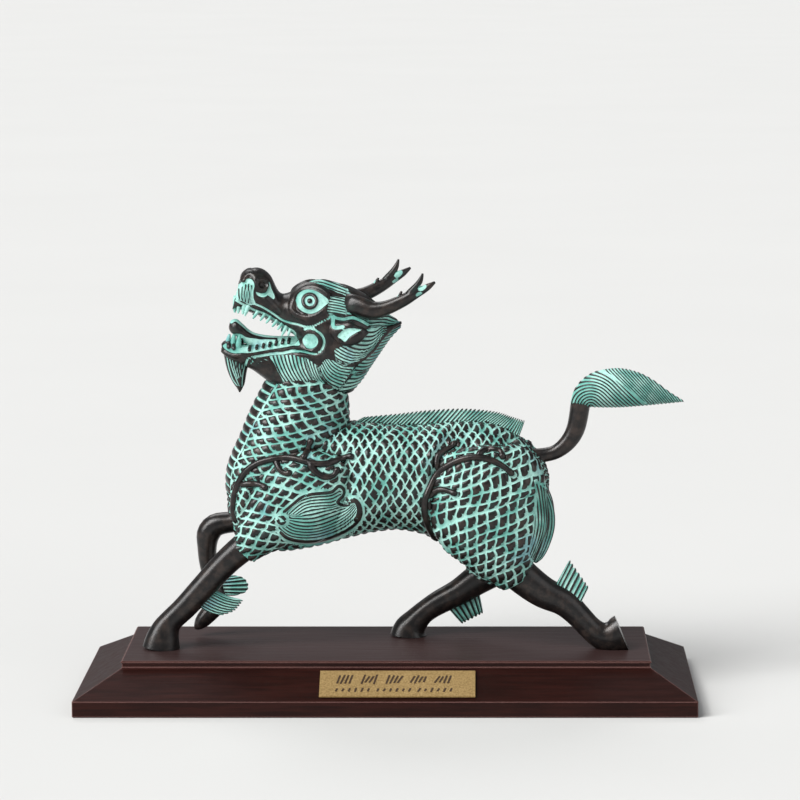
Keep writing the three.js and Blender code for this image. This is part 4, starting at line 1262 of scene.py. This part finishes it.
JAW = [
    [-24, 114, -24, 131, 12.4], [-31, 112, -31, 130.5, 13.4], [-39, 110.6, -37.5, 130.2, 12.6],
    [-47, 111.4, -44.6, 129.8, 10.6], [-53.4, 115.8, -51, 129.2, 9], [-57, 118.4, -56, 129, 8.4],
    [-61.7, 120.8, -61.7, 129.4, 8], [-67.3, 123.2, -68, 130.6, 6], [-69.8, 125.4, -70.2, 129.4, 3],
]
TONGUE = [
    [-36, 125, -35, 133, 5.5], [-44, 126, -44, 132.6, 5], [-50, 126.6, -50, 132.8, 5],
    [-55.6, 127.2, -55.6, 133.8, 4.8], [-59, 128.6, -58.6, 135.4, 4.6], [-62.2, 131, -61, 137.6, 4.3],
    [-65.2, 133.2, -63.6, 139.8, 3.8], [-66.8, 135, -65.8, 139.5, 2.4], [-67.1, 136.6, -66.7, 138.2, 0.9],
]
BEARD = [
    [-58, 124.5, -69.6, 126.5, 5.6], [-58.2, 121.8, -69, 123.4, 5.4], [-59.1, 118.6, -68.2, 119.6, 5],
    [-59.7, 115.4, -67, 116, 4.2], [-60.3, 112.4, -65.4, 112.8, 3], [-61.4, 110, -63.6, 110.2, 1.6],
    [-62.2, 108.6, -62.8, 108.6, 0.5],
]


def in_place(grid):
    return grid @ HEAD_POSE[:3, :3].T + HEAD_POSE[:3, 3]


def as_seen(grid):
    """Where each point of the head falls on the middle plane, looked at from the camera."""
    near = grid.copy()
    near[:, :, 1] = -np.abs(near[:, :, 1])
    return on_view(in_place(near))

# %% [markdown]
# The face is drawn in lines and outlines on the middle plane: the eye and its lids, the lips, the
# gums, the cheek and the long line that runs from the cheek to the beard.

# %% Eye, lips and cheek as drawn
EYE, NOSTRIL = [-32.7, 147.4], [-52.7, 154.6]
ALMOND = [
    [-38.6, 147.7], [-37.6, 150.3], [-35.3, 152], [-32.7, 152.4], [-29.8, 151.6], [-27.2, 150],
    [-24.6, 147.4], [-26.9, 145.1], [-29.5, 143.1], [-32.5, 142.2], [-35.7, 143.1], [-37.9, 145.1],
]
LID = [
    [-39.9, 147.7], [-38.7, 151], [-35.9, 153.3], [-32.7, 154.1], [-29.1, 153.3], [-25.9, 151.3],
    [-23.2, 147.7], [-24.3, 145.9], [-26.9, 143.5], [-30.2, 141.2], [-34.1, 140.4], [-38, 141.5],
    [-40.4, 144], [-39.9, 147.7],
]
LIP_LINE = [
    [-57.4, 148.6], [-56.2, 146.4], [-53.5, 145.2], [-50.1, 143.2], [-47.2, 141.2], [-44.8, 139.5],
    [-41.4, 138.3], [-38, 137.6], [-34.8, 136.7], [-31.2, 137.1], [-27.6, 138.9], [-25, 140.2], [-24, 141.5],
]
TOOTH_LINE = [
    [-64, 147.9], [-61.8, 146.6], [-59.4, 145.4], [-56, 143.6], [-52.1, 142.2], [-48.4, 140], [-45.5, 138],
    [-43.1, 136.5], [-41.4, 135.6], [-39.4, 134.4], [-39, 132.9],
]
LIP_FRONT = [
    [-59.9, 156.5], [-58.6, 157.3], [-57, 156.5], [-56.2, 154.2], [-56.7, 152], [-56.7, 149], [-56.1, 146.4],
    [-58.7, 145.8], [-61, 147.4], [-64.3, 148.6], [-65.5, 152.3], [-62.5, 155.2],
]
LIP_RIDGES = [
    [[-62.9, 152.8], [-62.9, 150.3], [-62.7, 148.4]], [[-61.4, 153.6], [-61.6, 150.3], [-61.5, 147.9]],
    [[-60, 154.6], [-60.4, 151], [-60.3, 147.4]], [[-58.7, 154.8], [-59.2, 151], [-59.1, 146.8]],
    [[-57.6, 154.2], [-58, 151], [-57.9, 146.6]],
]
CRESCENT = [
    [-55.7, 151.6], [-53.5, 150.9], [-51.4, 151.3], [-50.5, 152.9], [-50.1, 155.9], [-49.5, 155.5],
    [-48.8, 152.9], [-47.5, 149.7], [-48.2, 148.4], [-49.5, 149.3], [-50.6, 150.1], [-51.9, 149.3],
    [-53.8, 149.4], [-55.3, 150.3],
]
NOSE_RING = [[-60.8, 156.5], [-60, 158.5], [-58.2, 159.5], [-56.5, 158.7], [-55.5, 157], [-55.1, 154.7]]
CHEEK = [
    [-24.6, 142.6], [-23.8, 139.2], [-23.6, 135.8], [-20.6, 135.4], [-21.7, 133.4], [-22.2, 131.4],
    [-18.8, 129.5], [-21, 127.6], [-22.9, 127.1], [-22.4, 123.6], [-23, 122.3], [-27.1, 123.3],
    [-28.1, 120.6], [-29.4, 120], [-31, 123.3], [-38.8, 124.6], [-40, 133.5], [-36, 137], [-30, 139],
]
C_LINE = [
    [-35.1, 135.5], [-33.1, 136], [-30.9, 135.4], [-28.3, 133.7], [-26.8, 130.7], [-27.5, 127.4],
    [-29.6, 125.3], [-32.6, 125.1], [-35, 125.9], [-37.8, 126.1], [-40.8, 126.1], [-43.9, 125.4],
    [-48.8, 125], [-53.7, 124.2], [-58.6, 123.3], [-60.1, 121.1], [-60.8, 117.4], [-61.1, 113.2],
]
LIP_BAND = [
    [-69.5, 126.3], [-67.6, 124.8], [-65.2, 124.2], [-62.2, 124.6], [-58.1, 124.6], [-51.3, 125.6],
    [-43.9, 126.7], [-38.7, 127.4], [-34.8, 126.4], [-31.3, 126.6], [-28.8, 128.7], [-28.6, 131.7],
    [-30.6, 134.2], [-34.1, 134.7],
]
GUM = [
    [-67, 133.4], [-62.6, 133.6], [-60, 132.2], [-56.1, 131.6], [-52.2, 131.2], [-42.4, 132.6],
    [-39.2, 134.4], [-38.5, 132.4], [-36.6, 129.2], [-34.9, 128.7], [-39.5, 128.3], [-47.3, 126.8],
    [-51.7, 126.1], [-56.1, 125.1], [-59.6, 124.4], [-63, 125.3], [-65.4, 125.3], [-67.8, 126.3],
    [-70, 128.5], [-67.5, 130.4],
]
LOWER_TEETH = [
    [-58.6, 127.3], [-55.5, 127.9], [-52.7, 128.4], [-50, 128.9], [-47.3, 129.5], [-44.5, 130.1],
    [-41.9, 130.5],
]
FRONT_TEETH = [[-67.4, 128.8], [-65.2, 128.2], [-61.8, 130.2]]
TONGUE_LINE = [
    [-66.2, 138.6], [-64.4, 139.6], [-62.6, 138.3], [-60.7, 136.8], [-58.5, 134.9], [-55.6, 133.6],
    [-51.2, 132.7], [-46.3, 132.4], [-42.4, 132.6],
]
TONGUE_FOLD = [[-61.6, 135.2], [-57.5, 132.6], [-52.2, 131.7], [-47, 131.5]]

# %% [markdown]
# Behind the cheek come the ear, the locks of the mane and the fringe below the jaw. The guide lines
# of neighbouring locks share an edge, so that no gap opens between them.

# %% Ear and mane as drawn
EAR_FRAME = [[-22.9, 141], [-22.8, 136.5], [-18.8, 136.6]]
EAR_TOP = [[-23, 140.6], [-19, 139.9], [-14.9, 140.5], [-11.7, 139.5], [-8.3, 137.6]]
EAR_HOLLOW = [
    [-21.6, 132], [-20.7, 133.6], [-18, 135.6], [-14.9, 136.1], [-10.9, 135.6], [-13.4, 134], [-16, 132.3],
    [-18.1, 130], [-19.8, 131.2],
]
MID_LINE = [
    [-16.4, 120.2], [-13, 121.1], [-10.1, 122.6], [-7.9, 124.3], [-5.2, 127], [-2.7, 130.7], [0.2, 134.2],
    [2.7, 136.4], [5.6, 138.1],
]
EAR_FOOT = [[-16.3, 136.3], [-11.5, 135.4], [-6.1, 135.2], [-3.9, 135.7], [-1.7, 137.3]]
MIDDLE_STRAND = [
    [-22.7, 131.2], [-18.8, 128.5], [-14.9, 126.5], [-11, 125.8], [-7.6, 126.5], [-4.7, 129], [-1.7, 132.4],
]
FIRST_LOCK_EDGE = [
    [-24, 124.5], [-21.5, 122.3], [-19.3, 121.2], [-17.6, 120.6], [-15.9, 120.4], [-13, 121], [-10.1, 122.4],
    [-7.9, 124.3], [-5.2, 127], [-2.7, 130.6],
]
FIRST_LOCK = [
    [-22.7, 127.2], [-18.8, 128.7], [-17.6, 129.7], [-13.9, 130.9], [-8.3, 135.8], [-1.7, 137.7],
    [0.2, 134.5], [-2.7, 130.9], [-5.2, 127.2], [-7.9, 124.5], [-10.1, 122.8], [-13, 121.3], [-16.4, 120.3],
    [-22, 122.6],
]
CROWN_LINE = [[-17, 151.5], [-14.2, 149.9], [-10.7, 148.2], [-7.2, 147.2]]
LACE = [
    [-58.1, 120.8], [-56.7, 122.1], [-55.2, 121.3], [-54.5, 121.2], [-53, 122.4], [-51.3, 122.2],
    [-50.2, 121.3],
]

# %% [markdown]
# The mane is nine locks. Each has as many strands as can be counted on the original, between 4 and
# 14.

# %% The mane's marks
mane_marks = [
    locks([[-18, 147], [-11, 146.5], [-7, 144]], [[-17, 141], [-11, 140.2], [-7.6, 138.4]], 5),
    locks([[-0.7, 141.6], [1.2, 142], [3.9, 140.4], [6.6, 138.9]],
          [[-7.8, 136.3], [-4.5, 136.5], [0, 136.6], [3.9, 137.8]], 5),
    locks([[-10, 142], [-6, 142.4], [-2, 141.4]], [[-8.6, 137.6], [-6, 137.4], [-3.4, 138]], 4),
    fan([EAR_FOOT, MIDDLE_STRAND, FIRST_LOCK_EDGE], [5, 5], FIRST_LOCK),
    locks([[3.2, 136], [5.6, 137.4], [8.4, 138.6]],
          [[-15, 117.4], [-11.6, 117], [-9.1, 117.6], [-6, 119.4]], 14),
    locks([[-24, 124.3], [-21.5, 121.9], [-17.6, 120.1], [-13.6, 120.3]],
          [[-29.6, 119.6], [-27.4, 114.4], [-25, 111.8], [-20.9, 109.6]], 9),
    locks([[-13.6, 117], [-11.6, 116.6], [-9.1, 117.4], [-6, 119.4]],
          [[-22, 107.6], [-16.5, 108.6], [-11, 111.4], [-7, 116]], 6),
    locks([[-29.6, 120], [-28.8, 117], [-26.6, 112.6], [-23, 108.6]],
          [[-35.6, 124], [-34.2, 119.9], [-32.8, 116.2], [-28.4, 110]], 5),
    locks([[-34.9, 124.6], [-34.2, 119.9], [-32.8, 116.2], [-29.4, 110.6]],
          [[-49.6, 124.6], [-48.2, 120.6], [-46, 116], [-42, 110]], 10),
    stroke(MID_LINE, 0.8, True, 0.4), patch(CHEEK, True, 0.3), stroke(LACE, 0.55),
]
print("mane:", len(mane_marks), "marks")

# %% [markdown]
# The face's marks lie over the mane's. Lips, lids and the nostrils' rims are lifted and bare, and
# the nostrils' pits are sunk and left black as painted shade. The almond of the eye, the gums and
# the hollows stay green, and the small teeth of the lower jaw are short upright strokes. The beard
# is combed with eight lines of its own.

# %% The face's and the beard's marks
face_marks = [
    patch(LIP_FRONT, False, -0.4), *[stroke(line, 0.6, True, 0.3) for line in LIP_RIDGES],
    stroke(NOSE_RING, 2.2, True, 0.9), patch(CRESCENT, False, -0.6),
    # Painted shade: the nostril's pit is sunk and left black metal instead of green.
    ring(NOSTRIL, 0.7, 1.6, True, -1.2), ring(NOSTRIL, 2.2, 1.1, True, 0.4),
    stroke([[-51.7, 148.7], [-49.0, 145.8], [-46.1, 142.8]], 1.6, True, 0.6),
    stroke(LIP_LINE, 0.85, False, -0.4), stroke(TOOTH_LINE, 0.9, False, 0.1),
    stroke(LID, 2.3, True, 1.1), patch(ALMOND, False, 0.3),
    ring(EYE, 2.8, 1.5, True, 1.0), ring(EYE, 1.7, 0.8, False, 0.5), ring(EYE, 0.5, 1.2, True, 1.1),
    locks([[-24.1, 150.4], [-19.9, 149.6], [-15.8, 148.4]],
          [[-25.6, 142.4], [-21.7, 141.9], [-17.9, 141.2]], 8),
    locks([[-37.5, 155.4], [-31, 158], [-26, 157.4], [-17.5, 154]],
          [[-31.5, 155], [-27, 153.8], [-22.5, 151.9], [-15, 149.4]], 4),
    stroke(EAR_FRAME, 1.6, False, 0.1), stroke(EAR_TOP, 1.3, False, 0.1), stroke(CROWN_LINE, 0.9),
    patch(GUM, False, -0.2),
    *[stroke([[x + 0.25, z + 0.75], [x - 0.1, z - 0.75]], 1.5, True, 0.7) for x, z in LOWER_TEETH],
    *[stroke([[x, z + 0.9], [x, z - 0.9]], 1.7, True, 0.5) for x, z in FRONT_TEETH],
    stroke(TONGUE_LINE, 1.2, False, 0.0), stroke(TONGUE_FOLD, 0.8, True, 0.2),
    stroke([[-35.4, 134.5], [-36.7, 131.5], [-35.7, 128.2]], 1.9, True, 0.1),
    ring([-32.5, 130.6], 1.6, 3.4, False, 0.3),
    stroke(LIP_BAND, 1.6, True, 0.9), stroke(C_LINE, 0.95, False, -0.3),
]
BEARD_STRANDS = [
    [[-68.5, 124.7], [-67.6, 119.2], [-66.1, 114.3], [-64.1, 111.4]],
    [[-67.3, 123.9], [-66.3, 119.2], [-64.7, 114.8], [-63.2, 111.2]],
    [[-66, 123], [-65.2, 118.7], [-63.8, 114.4]], [[-64.6, 122.5], [-64.1, 118.7], [-63.1, 114.8]],
    [[-63, 122.5], [-62.9, 118.7], [-62.2, 115.2]], [[-61.6, 122.5], [-61.8, 118.6]],
    [[-57.8, 123.3], [-60, 121.9], [-60.9, 118.7], [-61.6, 114.8], [-61.8, 111]],
    [[-57, 121.7], [-58.8, 119.2], [-59.6, 115.9], [-60.2, 112]],
]
beard_marks = [stroke(line, 0.42) for line in BEARD_STRANDS]
print("face:", len(face_marks), "marks, beard:", len(beard_marks), "strands")

# %% [markdown]
# Every form of the head is carved with the one drawing, so a line that starts on the jaw goes on
# over the mane. The jaw's rings are squarer than the others, because its sides are flat.

# %% Skull, jaw, mane, tongue and beard


def engraved(grid, marks):
    """Carves a form of the head with its marks and adds it to the casting."""
    edge, height, strand, within = drawn(*as_seen(grid), marks)
    return skin(in_place(carve(grid, height)), CARVED, (strand, within), edge)


def headpiece(rows, steps, around, marks, power=OVAL):
    engraved(rings_of(even_rows(rows, steps), around, power), marks)


head_marks = mane_marks + face_marks
headpiece(SKULL, 112, 132, head_marks)
headpiece(JAW, 76, 72, head_marks, 3)
headpiece(MANE, 84, 128, head_marks)
headpiece(TONGUE, 44, 32, face_marks)
headpiece(BEARD, 40, 72, beard_marks)

# %% [markdown]
# The ears and the antlers stand clear of the head. The antlers are bare round bars with a tine and
# a bud, and their green hollows are drawn like the face. The far antler isn't a mirror image, since
# on the original it sits further forward and higher.

# %% Ears and antlers
EAR = [
    [-25.5, 138.6, -13, 1.6, 1.6], [-22.5, 137.4, -14.6, 3.6, 2.4], [-18.5, 136, -16, 5.4, 2.8],
    [-14.5, 135.6, -17, 4.6, 2.6], [-11, 136.2, -17.4, 2.6, 1.9], [-8.6, 136.4, -17.4, 0.5, 0.5],
]
ANTLER = [
    [-18.8, 148.6, -7.5, 3, 2.8], [-16.5, 147.8, -9.5, 4.3, 3.6], [-12, 146.6, -11.6, 4.3, 3.7],
    [-7, 145.3, -13.2, 3.8, 3.5], [-1, 146.5, -14.8, 3.1, 2.9], [6, 149.8, -16, 2.7, 2.6],
    [11.6, 153.2, -17, 2.2, 2.1], [16, 155.6, -17.8, 1.5, 1.4], [19.2, 157.8, -18.2, 0.5, 0.5],
]
TINE = [
    [5.5, 149.4, -15.9, 1.4, 1.4], [9, 152.8, -16.6, 1.9, 1.8], [11.8, 156.2, -17.4, 1.5, 1.4],
    [13.3, 159, -17.8, 1, 0.9], [14, 161.4, -18, 0.4, 0.4],
]
BUD = [[3, 148.6, -15.4, 1, 1], [4.2, 151.4, -15.6, 1, 0.9], [5.4, 153.6, -15.8, 0.4, 0.4]]
FAR_ANTLER_SHIFT = np.array([-8.5, 0, 2.2])

ear_marks = [patch(EAR_HOLLOW, False, -1.2), stroke(EAR_TOP, 1.3, False, 0), stroke(EAR_FRAME, 1.5, False, 0)]
both_sides(engraved(limb_rings(EAR, 34, 36), ear_marks), HEAD_POSE)
# Green hollows on the antlers, as seen.
FORK_MARKS = [
    patch([[12.7, 152.6], [14.1, 154.3], [16.2, 154.8], [16.6, 153.6], [15.0, 152.0], [13.6, 152.0]]),
    patch([[12.0, 150.4], [13.6, 151.6], [15.1, 151.0], [13.8, 149.9], [12.3, 149.5]]),
    stroke([[4.2, 150.0], [5.0, 152.4], [5.8, 154.0]], 0.8),
]
for rows, steps in ((ANTLER, 40), (TINE, 16), (BUD, 8)):
    grid = limb_rings(rows, steps, 16)
    edge, height, strand, within = drawn(*as_seen(grid), FORK_MARKS)
    for form in (carve(grid, height), grid * (1, -1, 1) + FAR_ANTLER_SHIFT):
        skin(in_place(form), CARVED, (strand, within), edge)

# %% [markdown]
# The long teeth are pegs set in the gum, thin enough for light to pass between them. As strokes on
# the lip they would look painted. Rows are root x, root z, tip x, tip z, middle y and the radius at
# the root. Each root goes 2 mm into the gum and leans inwards, so that it holds in the jaw.

# %% Teeth
ROOT_DEPTH, ROOT_INWARDS = 2.0, 0.72
TEETH = [
    [-55.4, 143.1, -57, 140.8, -6.8, 0.7], [-52.5, 142, -53.9, 140, -7, 0.65],
    [-50.1, 140.7, -51.5, 138.9, -7.1, 0.65], [-47.5, 139.2, -48.9, 137.4, -7.2, 0.65],
    [-45.3, 137.9, -46.7, 136.2, -7.4, 0.65], [-43.3, 136.7, -44.9, 133.6, -7.6, 0.75],
    [-41.5, 135.6, -42.2, 133.7, -7.8, 0.65], [-64.2, 147.6, -64.6, 142.9, -2.2, 1.1],
    [-62.6, 147.4, -63.2, 142.8, -4.4, 1.05], [-60.5, 146.6, -61.3, 142.6, -5.8, 1],
    [-58.9, 146, -60.4, 142, -6.6, 0.95], [-67.8, 128.4, -66.8, 133.2, -1.8, 1.2],
    [-65.5, 128.4, -64.8, 133.4, -3.8, 1.25], [-63.2, 128.4, -62.5, 133.6, -5.4, 1.25],
]


def peg(root_x, root_z, tip_x, tip_z, y, radius):
    run = (tip_x - root_x, tip_z - root_z)
    deep = ROOT_DEPTH / math.hypot(*run)
    rows = [[root_x - run[0] * deep, root_z - run[1] * deep, y * ROOT_INWARDS, radius, radius],
            [root_x, root_z, y, radius, radius],
            [root_x + run[0] * 0.6, root_z + run[1] * 0.6, y, radius * 0.8, radius * 0.8],
            [tip_x, tip_z, y, radius * 0.35, radius * 0.35]]
    return skin(in_place(rings_of(limb_slices(smooth_rows(rows, 6)), 8)), CARVED, edge=-0.25)


for tooth in TEETH:
    both_sides(peg(*tooth), HEAD_POSE)
print("head:", len(shells), "forms so far, with", 2 * len(TEETH), "long teeth")

# %% [markdown]
# ## Fins and tail tuft
# Fins are combs: a row of ribs from a root line to a tip line, thick at the root, with a strand
# count in their map so that the finish can draw the ribs. The tail's tuft is combed round its root,
# so its grooves are curves at even distances from a line.

# %% Combs and locks
RIB_STEPS = 4


def comb(root, tip, ribs, y, half, notch=0.08, sag=0.0):
    """A fin of ribs. notch is how far it dips between ribs, and sag how far the ribs hang."""
    columns = ribs * RIB_STEPS
    roots, tips = smooth_rows(root, columns), smooth_rows(tip, columns)
    count = np.arange(columns + 1) / RIB_STEPS
    crest = np.abs(np.sin(np.pi * count))
    reach = (1 - notch * (1 - crest))[:, None]
    share = np.array([0, 0.15, 0.35, 0.55, 0.75, 0.9, 1.0])[None, :]
    along = roots[:, None] + (tips - roots)[:, None] * (reach * share)[:, :, None]
    along[:, :, 1] -= sag * np.sin(np.pi * share)
    # Thick at the root and thin at the tip, with the ribs standing proud.
    thick = half * (1 - 0.75 * share) * (1 - 0.9 * share ** 8) + (0.3 * crest)[:, None]
    near = np.stack([along[:, :, 0], y - thick, along[:, :, 1]], 2)
    far = np.stack([along[:, :, 0], y + thick, along[:, :, 1]], 2)
    skin(np.concatenate([near, far[:, ::-1]], 1), CARVED, (count[:, None], REACH))


def strands(rows, steps, around, count):
    """A tapering lock whose grooves run along it."""
    across = np.cos(turn_of(around))[None, :] * count / 2
    grid = carve(limb_rings(rows, steps, around), -0.25 * wave(across))
    return skin(grid, CARVED, (across, REACH))

# %% [markdown]
# A long comb of 46 ribs runs down the back. A flat lock with seven grooves makes the fin behind
# each thigh, and smaller combs stand on the legs.

# %% Fins on the back and the legs
BACK_ROOT = [[-14, 95.6], [-3, 93.4], [10, 93], [26.4, 94.4], [38, 94.4], [47, 92.6], [55.5, 88]]
BACK_TIP = [[-10, 98], [4, 99.4], [18, 101], [33, 101.6], [45.8, 100.4], [53, 98.2], [58.6, 96.4]]
HAUNCH_FIN = [
    [64.2, 71, -7, 1.2, 1.5], [66, 65, -8, 2.6, 2.4], [66.8, 58.8, -8, 4, 3], [66.4, 52, -8, 4.6, 3],
    [64.8, 45, -8, 4.2, 2.6], [63, 39.5, -8, 3.2, 1.8], [62.2, 36.6, -8, 1.2, 0.8],
]
comb(BACK_ROOT, BACK_TIP, 46, 0, 1.3, notch=0.16)
both_sides(strands(HAUNCH_FIN, 24, 32, 7))
comb([[-74.5, 25.4], [-80.5, 18.8]],
     [[-61.4, 20.8], [-63.2, 18.2], [-65.8, 15.8], [-70.6, 14.2]], 8, -12, 2.4, sag=1.0)
comb([[-72.5, 26.6], [-74.4, 24], [-74.8, 21], [-73.6, 18.4]],
     [[-67.6, 26.7], [-63.2, 25.7], [-60.9, 22.7], [-61.9, 19.4], [-67, 17.6]], 7, 13, 2.4, notch=0.04)
comb([[71, 26], [81, 17.5]], [[77.5, 38.5], [85.7, 26.5]], 7, -12, 2.4)
comb([[25, 13], [38.5, 21]], [[31.5, 5], [40.8, 9.8]], 7, 14, 2.4)
print("fins:", len(shells), "forms so far")

# %% [markdown]
# The tuft looks like a brush that is combed round from where it meets the stalk. Counting the
# distance from that point gives the arcs, and beyond a parting line the hairs run straight to the
# tip.

# %% The tail's tuft
TAIL_TUFT = [
    [78, 103.2, 77.8, 105, 2], [81, 102.7, 79, 108.4, 4], [86, 102.3, 81.8, 112.8, 5.6],
    [92.5, 102.1, 86, 116.2, 6.8], [100, 102.2, 91.3, 118.1, 7.4], [106.8, 102.7, 98.7, 118.8, 7.2],
    [112.7, 103.2, 106.5, 117.1, 6.2], [118, 103.7, 113.3, 113.6, 4.6], [122.5, 104.2, 120, 108.7, 2.6],
    [126.2, 104.5, 125.6, 105.2, 0.7],
]
COMBED_FROM, HAIR, TIP_HAIR, DIAGONAL = (86.4, 103.2), 1.25, 1.05, 1.414
TUFT_SPLIT = [[89.6, 118.6], [93.9, 116.8], [97.8, 114.4], [101.2, 111.4], [105.1, 108], [109.8, 104.3]]
tuft = rings_of(even_rows(TAIL_TUFT, 84), 60)
x, z = tuft[:, :, 0] - COMBED_FROM[0], tuft[:, :, 2] - COMBED_FROM[1]
run = np.maximum((x - z) / DIAGONAL, 0)
count = np.hypot(x - run / DIAGONAL, z + run / DIAGONAL) / HAIR
split = distance_to(TUFT_SPLIT, tuft[:, :, 0], tuft[:, :, 2])
beyond = tuft[:, :, 2] > np.interp(tuft[:, :, 0], *np.array(TUFT_SPLIT).T)
beyond &= tuft[:, :, 0] > TUFT_SPLIT[0][0]
count = np.where(beyond, (x * 0.6 + z * 0.8 + 0.006 * x ** 2) / TIP_HAIR, count)
within = np.minimum(split - 0.25, REACH)
skin(carve(tuft, -0.2 * wave(count)), CARVED, (count, within), -REACH)

# %% [markdown]
# ## The finished casting
# All shells become one closed mesh, and its triangles are counted. Its triangles are counted,
# because a library part must stay light enough to use.

# %% The casting in one piece
bronze_figure = joined(shells, "qilin_casting")
counts = [len(p.vertices) - 2 for p in bronze_figure.data.polygons]
print("casting:", len(shells), "forms,", sum(counts), "triangles")

# %% [markdown]
# The hooves reach a little below the plinth's top. A block cuts them level, so that they stand
# flat, as a file would do on the real casting.

# %% Level soles
GROUND_SIZE = (0.6, 0.6, 0.1)
below = object_of(block_of("ground", GROUND_SIZE, (0, 0, CASTING_ZERO[2] / 1000 - GROUND_SIZE[2] / 2)))
cut = bronze_figure.modifiers.new("soles", "BOOLEAN")
cut.operation, cut.solver, cut.object = "DIFFERENCE", "MANIFOLD", below
trimmed = baked(bronze_figure)
bronze_figure.modifiers.remove(cut)
bronze_figure.data = trimmed
bpy.data.objects.remove(below)
print("soles:", round(min(v.co.z for v in trimmed.vertices) * 1000, 3), "mm above the floor")

# %% [markdown]
# Where two skins only graze each other, a union can leave loose crumbs: flat flakes of two faces
# back to back, or specks of a few faces. They are taken out, as a fettler knocks off the flash.
# What is left should hang together as one piece, and its pieces are counted. Edges sharper than 55
# degrees, such as the soles' rims, are then kept crisp.

# %% Crumbs and crisp edges
CRUMB = 20
CRISP = math.radians(55)


def islands_of(made):
    """Groups the faces that hang together."""
    left, islands = set(made.faces), []
    while left:
        island, found = set(), [left.pop()]
        while found:
            face = found.pop()
            island.add(face)
            near = {other for edge in face.edges for other in edge.link_faces} & left
            left -= near
            found += near
        islands.append(island)
    return sorted(islands, key=len)


made = bmesh.new()
made.from_mesh(trimmed)
islands = islands_of(made)
crumbs = [face for island in islands if len(island) < CRUMB for face in island]
bmesh.ops.delete(made, geom=crumbs, context="FACES")
kept = [island for island in islands if len(island) >= CRUMB]
print("crumbs taken out:", len(islands) - len(kept), "with", len(crumbs), "faces; pieces left:", len(kept))
print("open edges:", sum(len(edge.link_faces) != 2 for edge in made.edges))
made.to_mesh(trimmed)
made.free()
trimmed.set_sharp_from_angle(angle=CRISP)
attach(bronze_figure, "root")
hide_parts("qilin_figure")
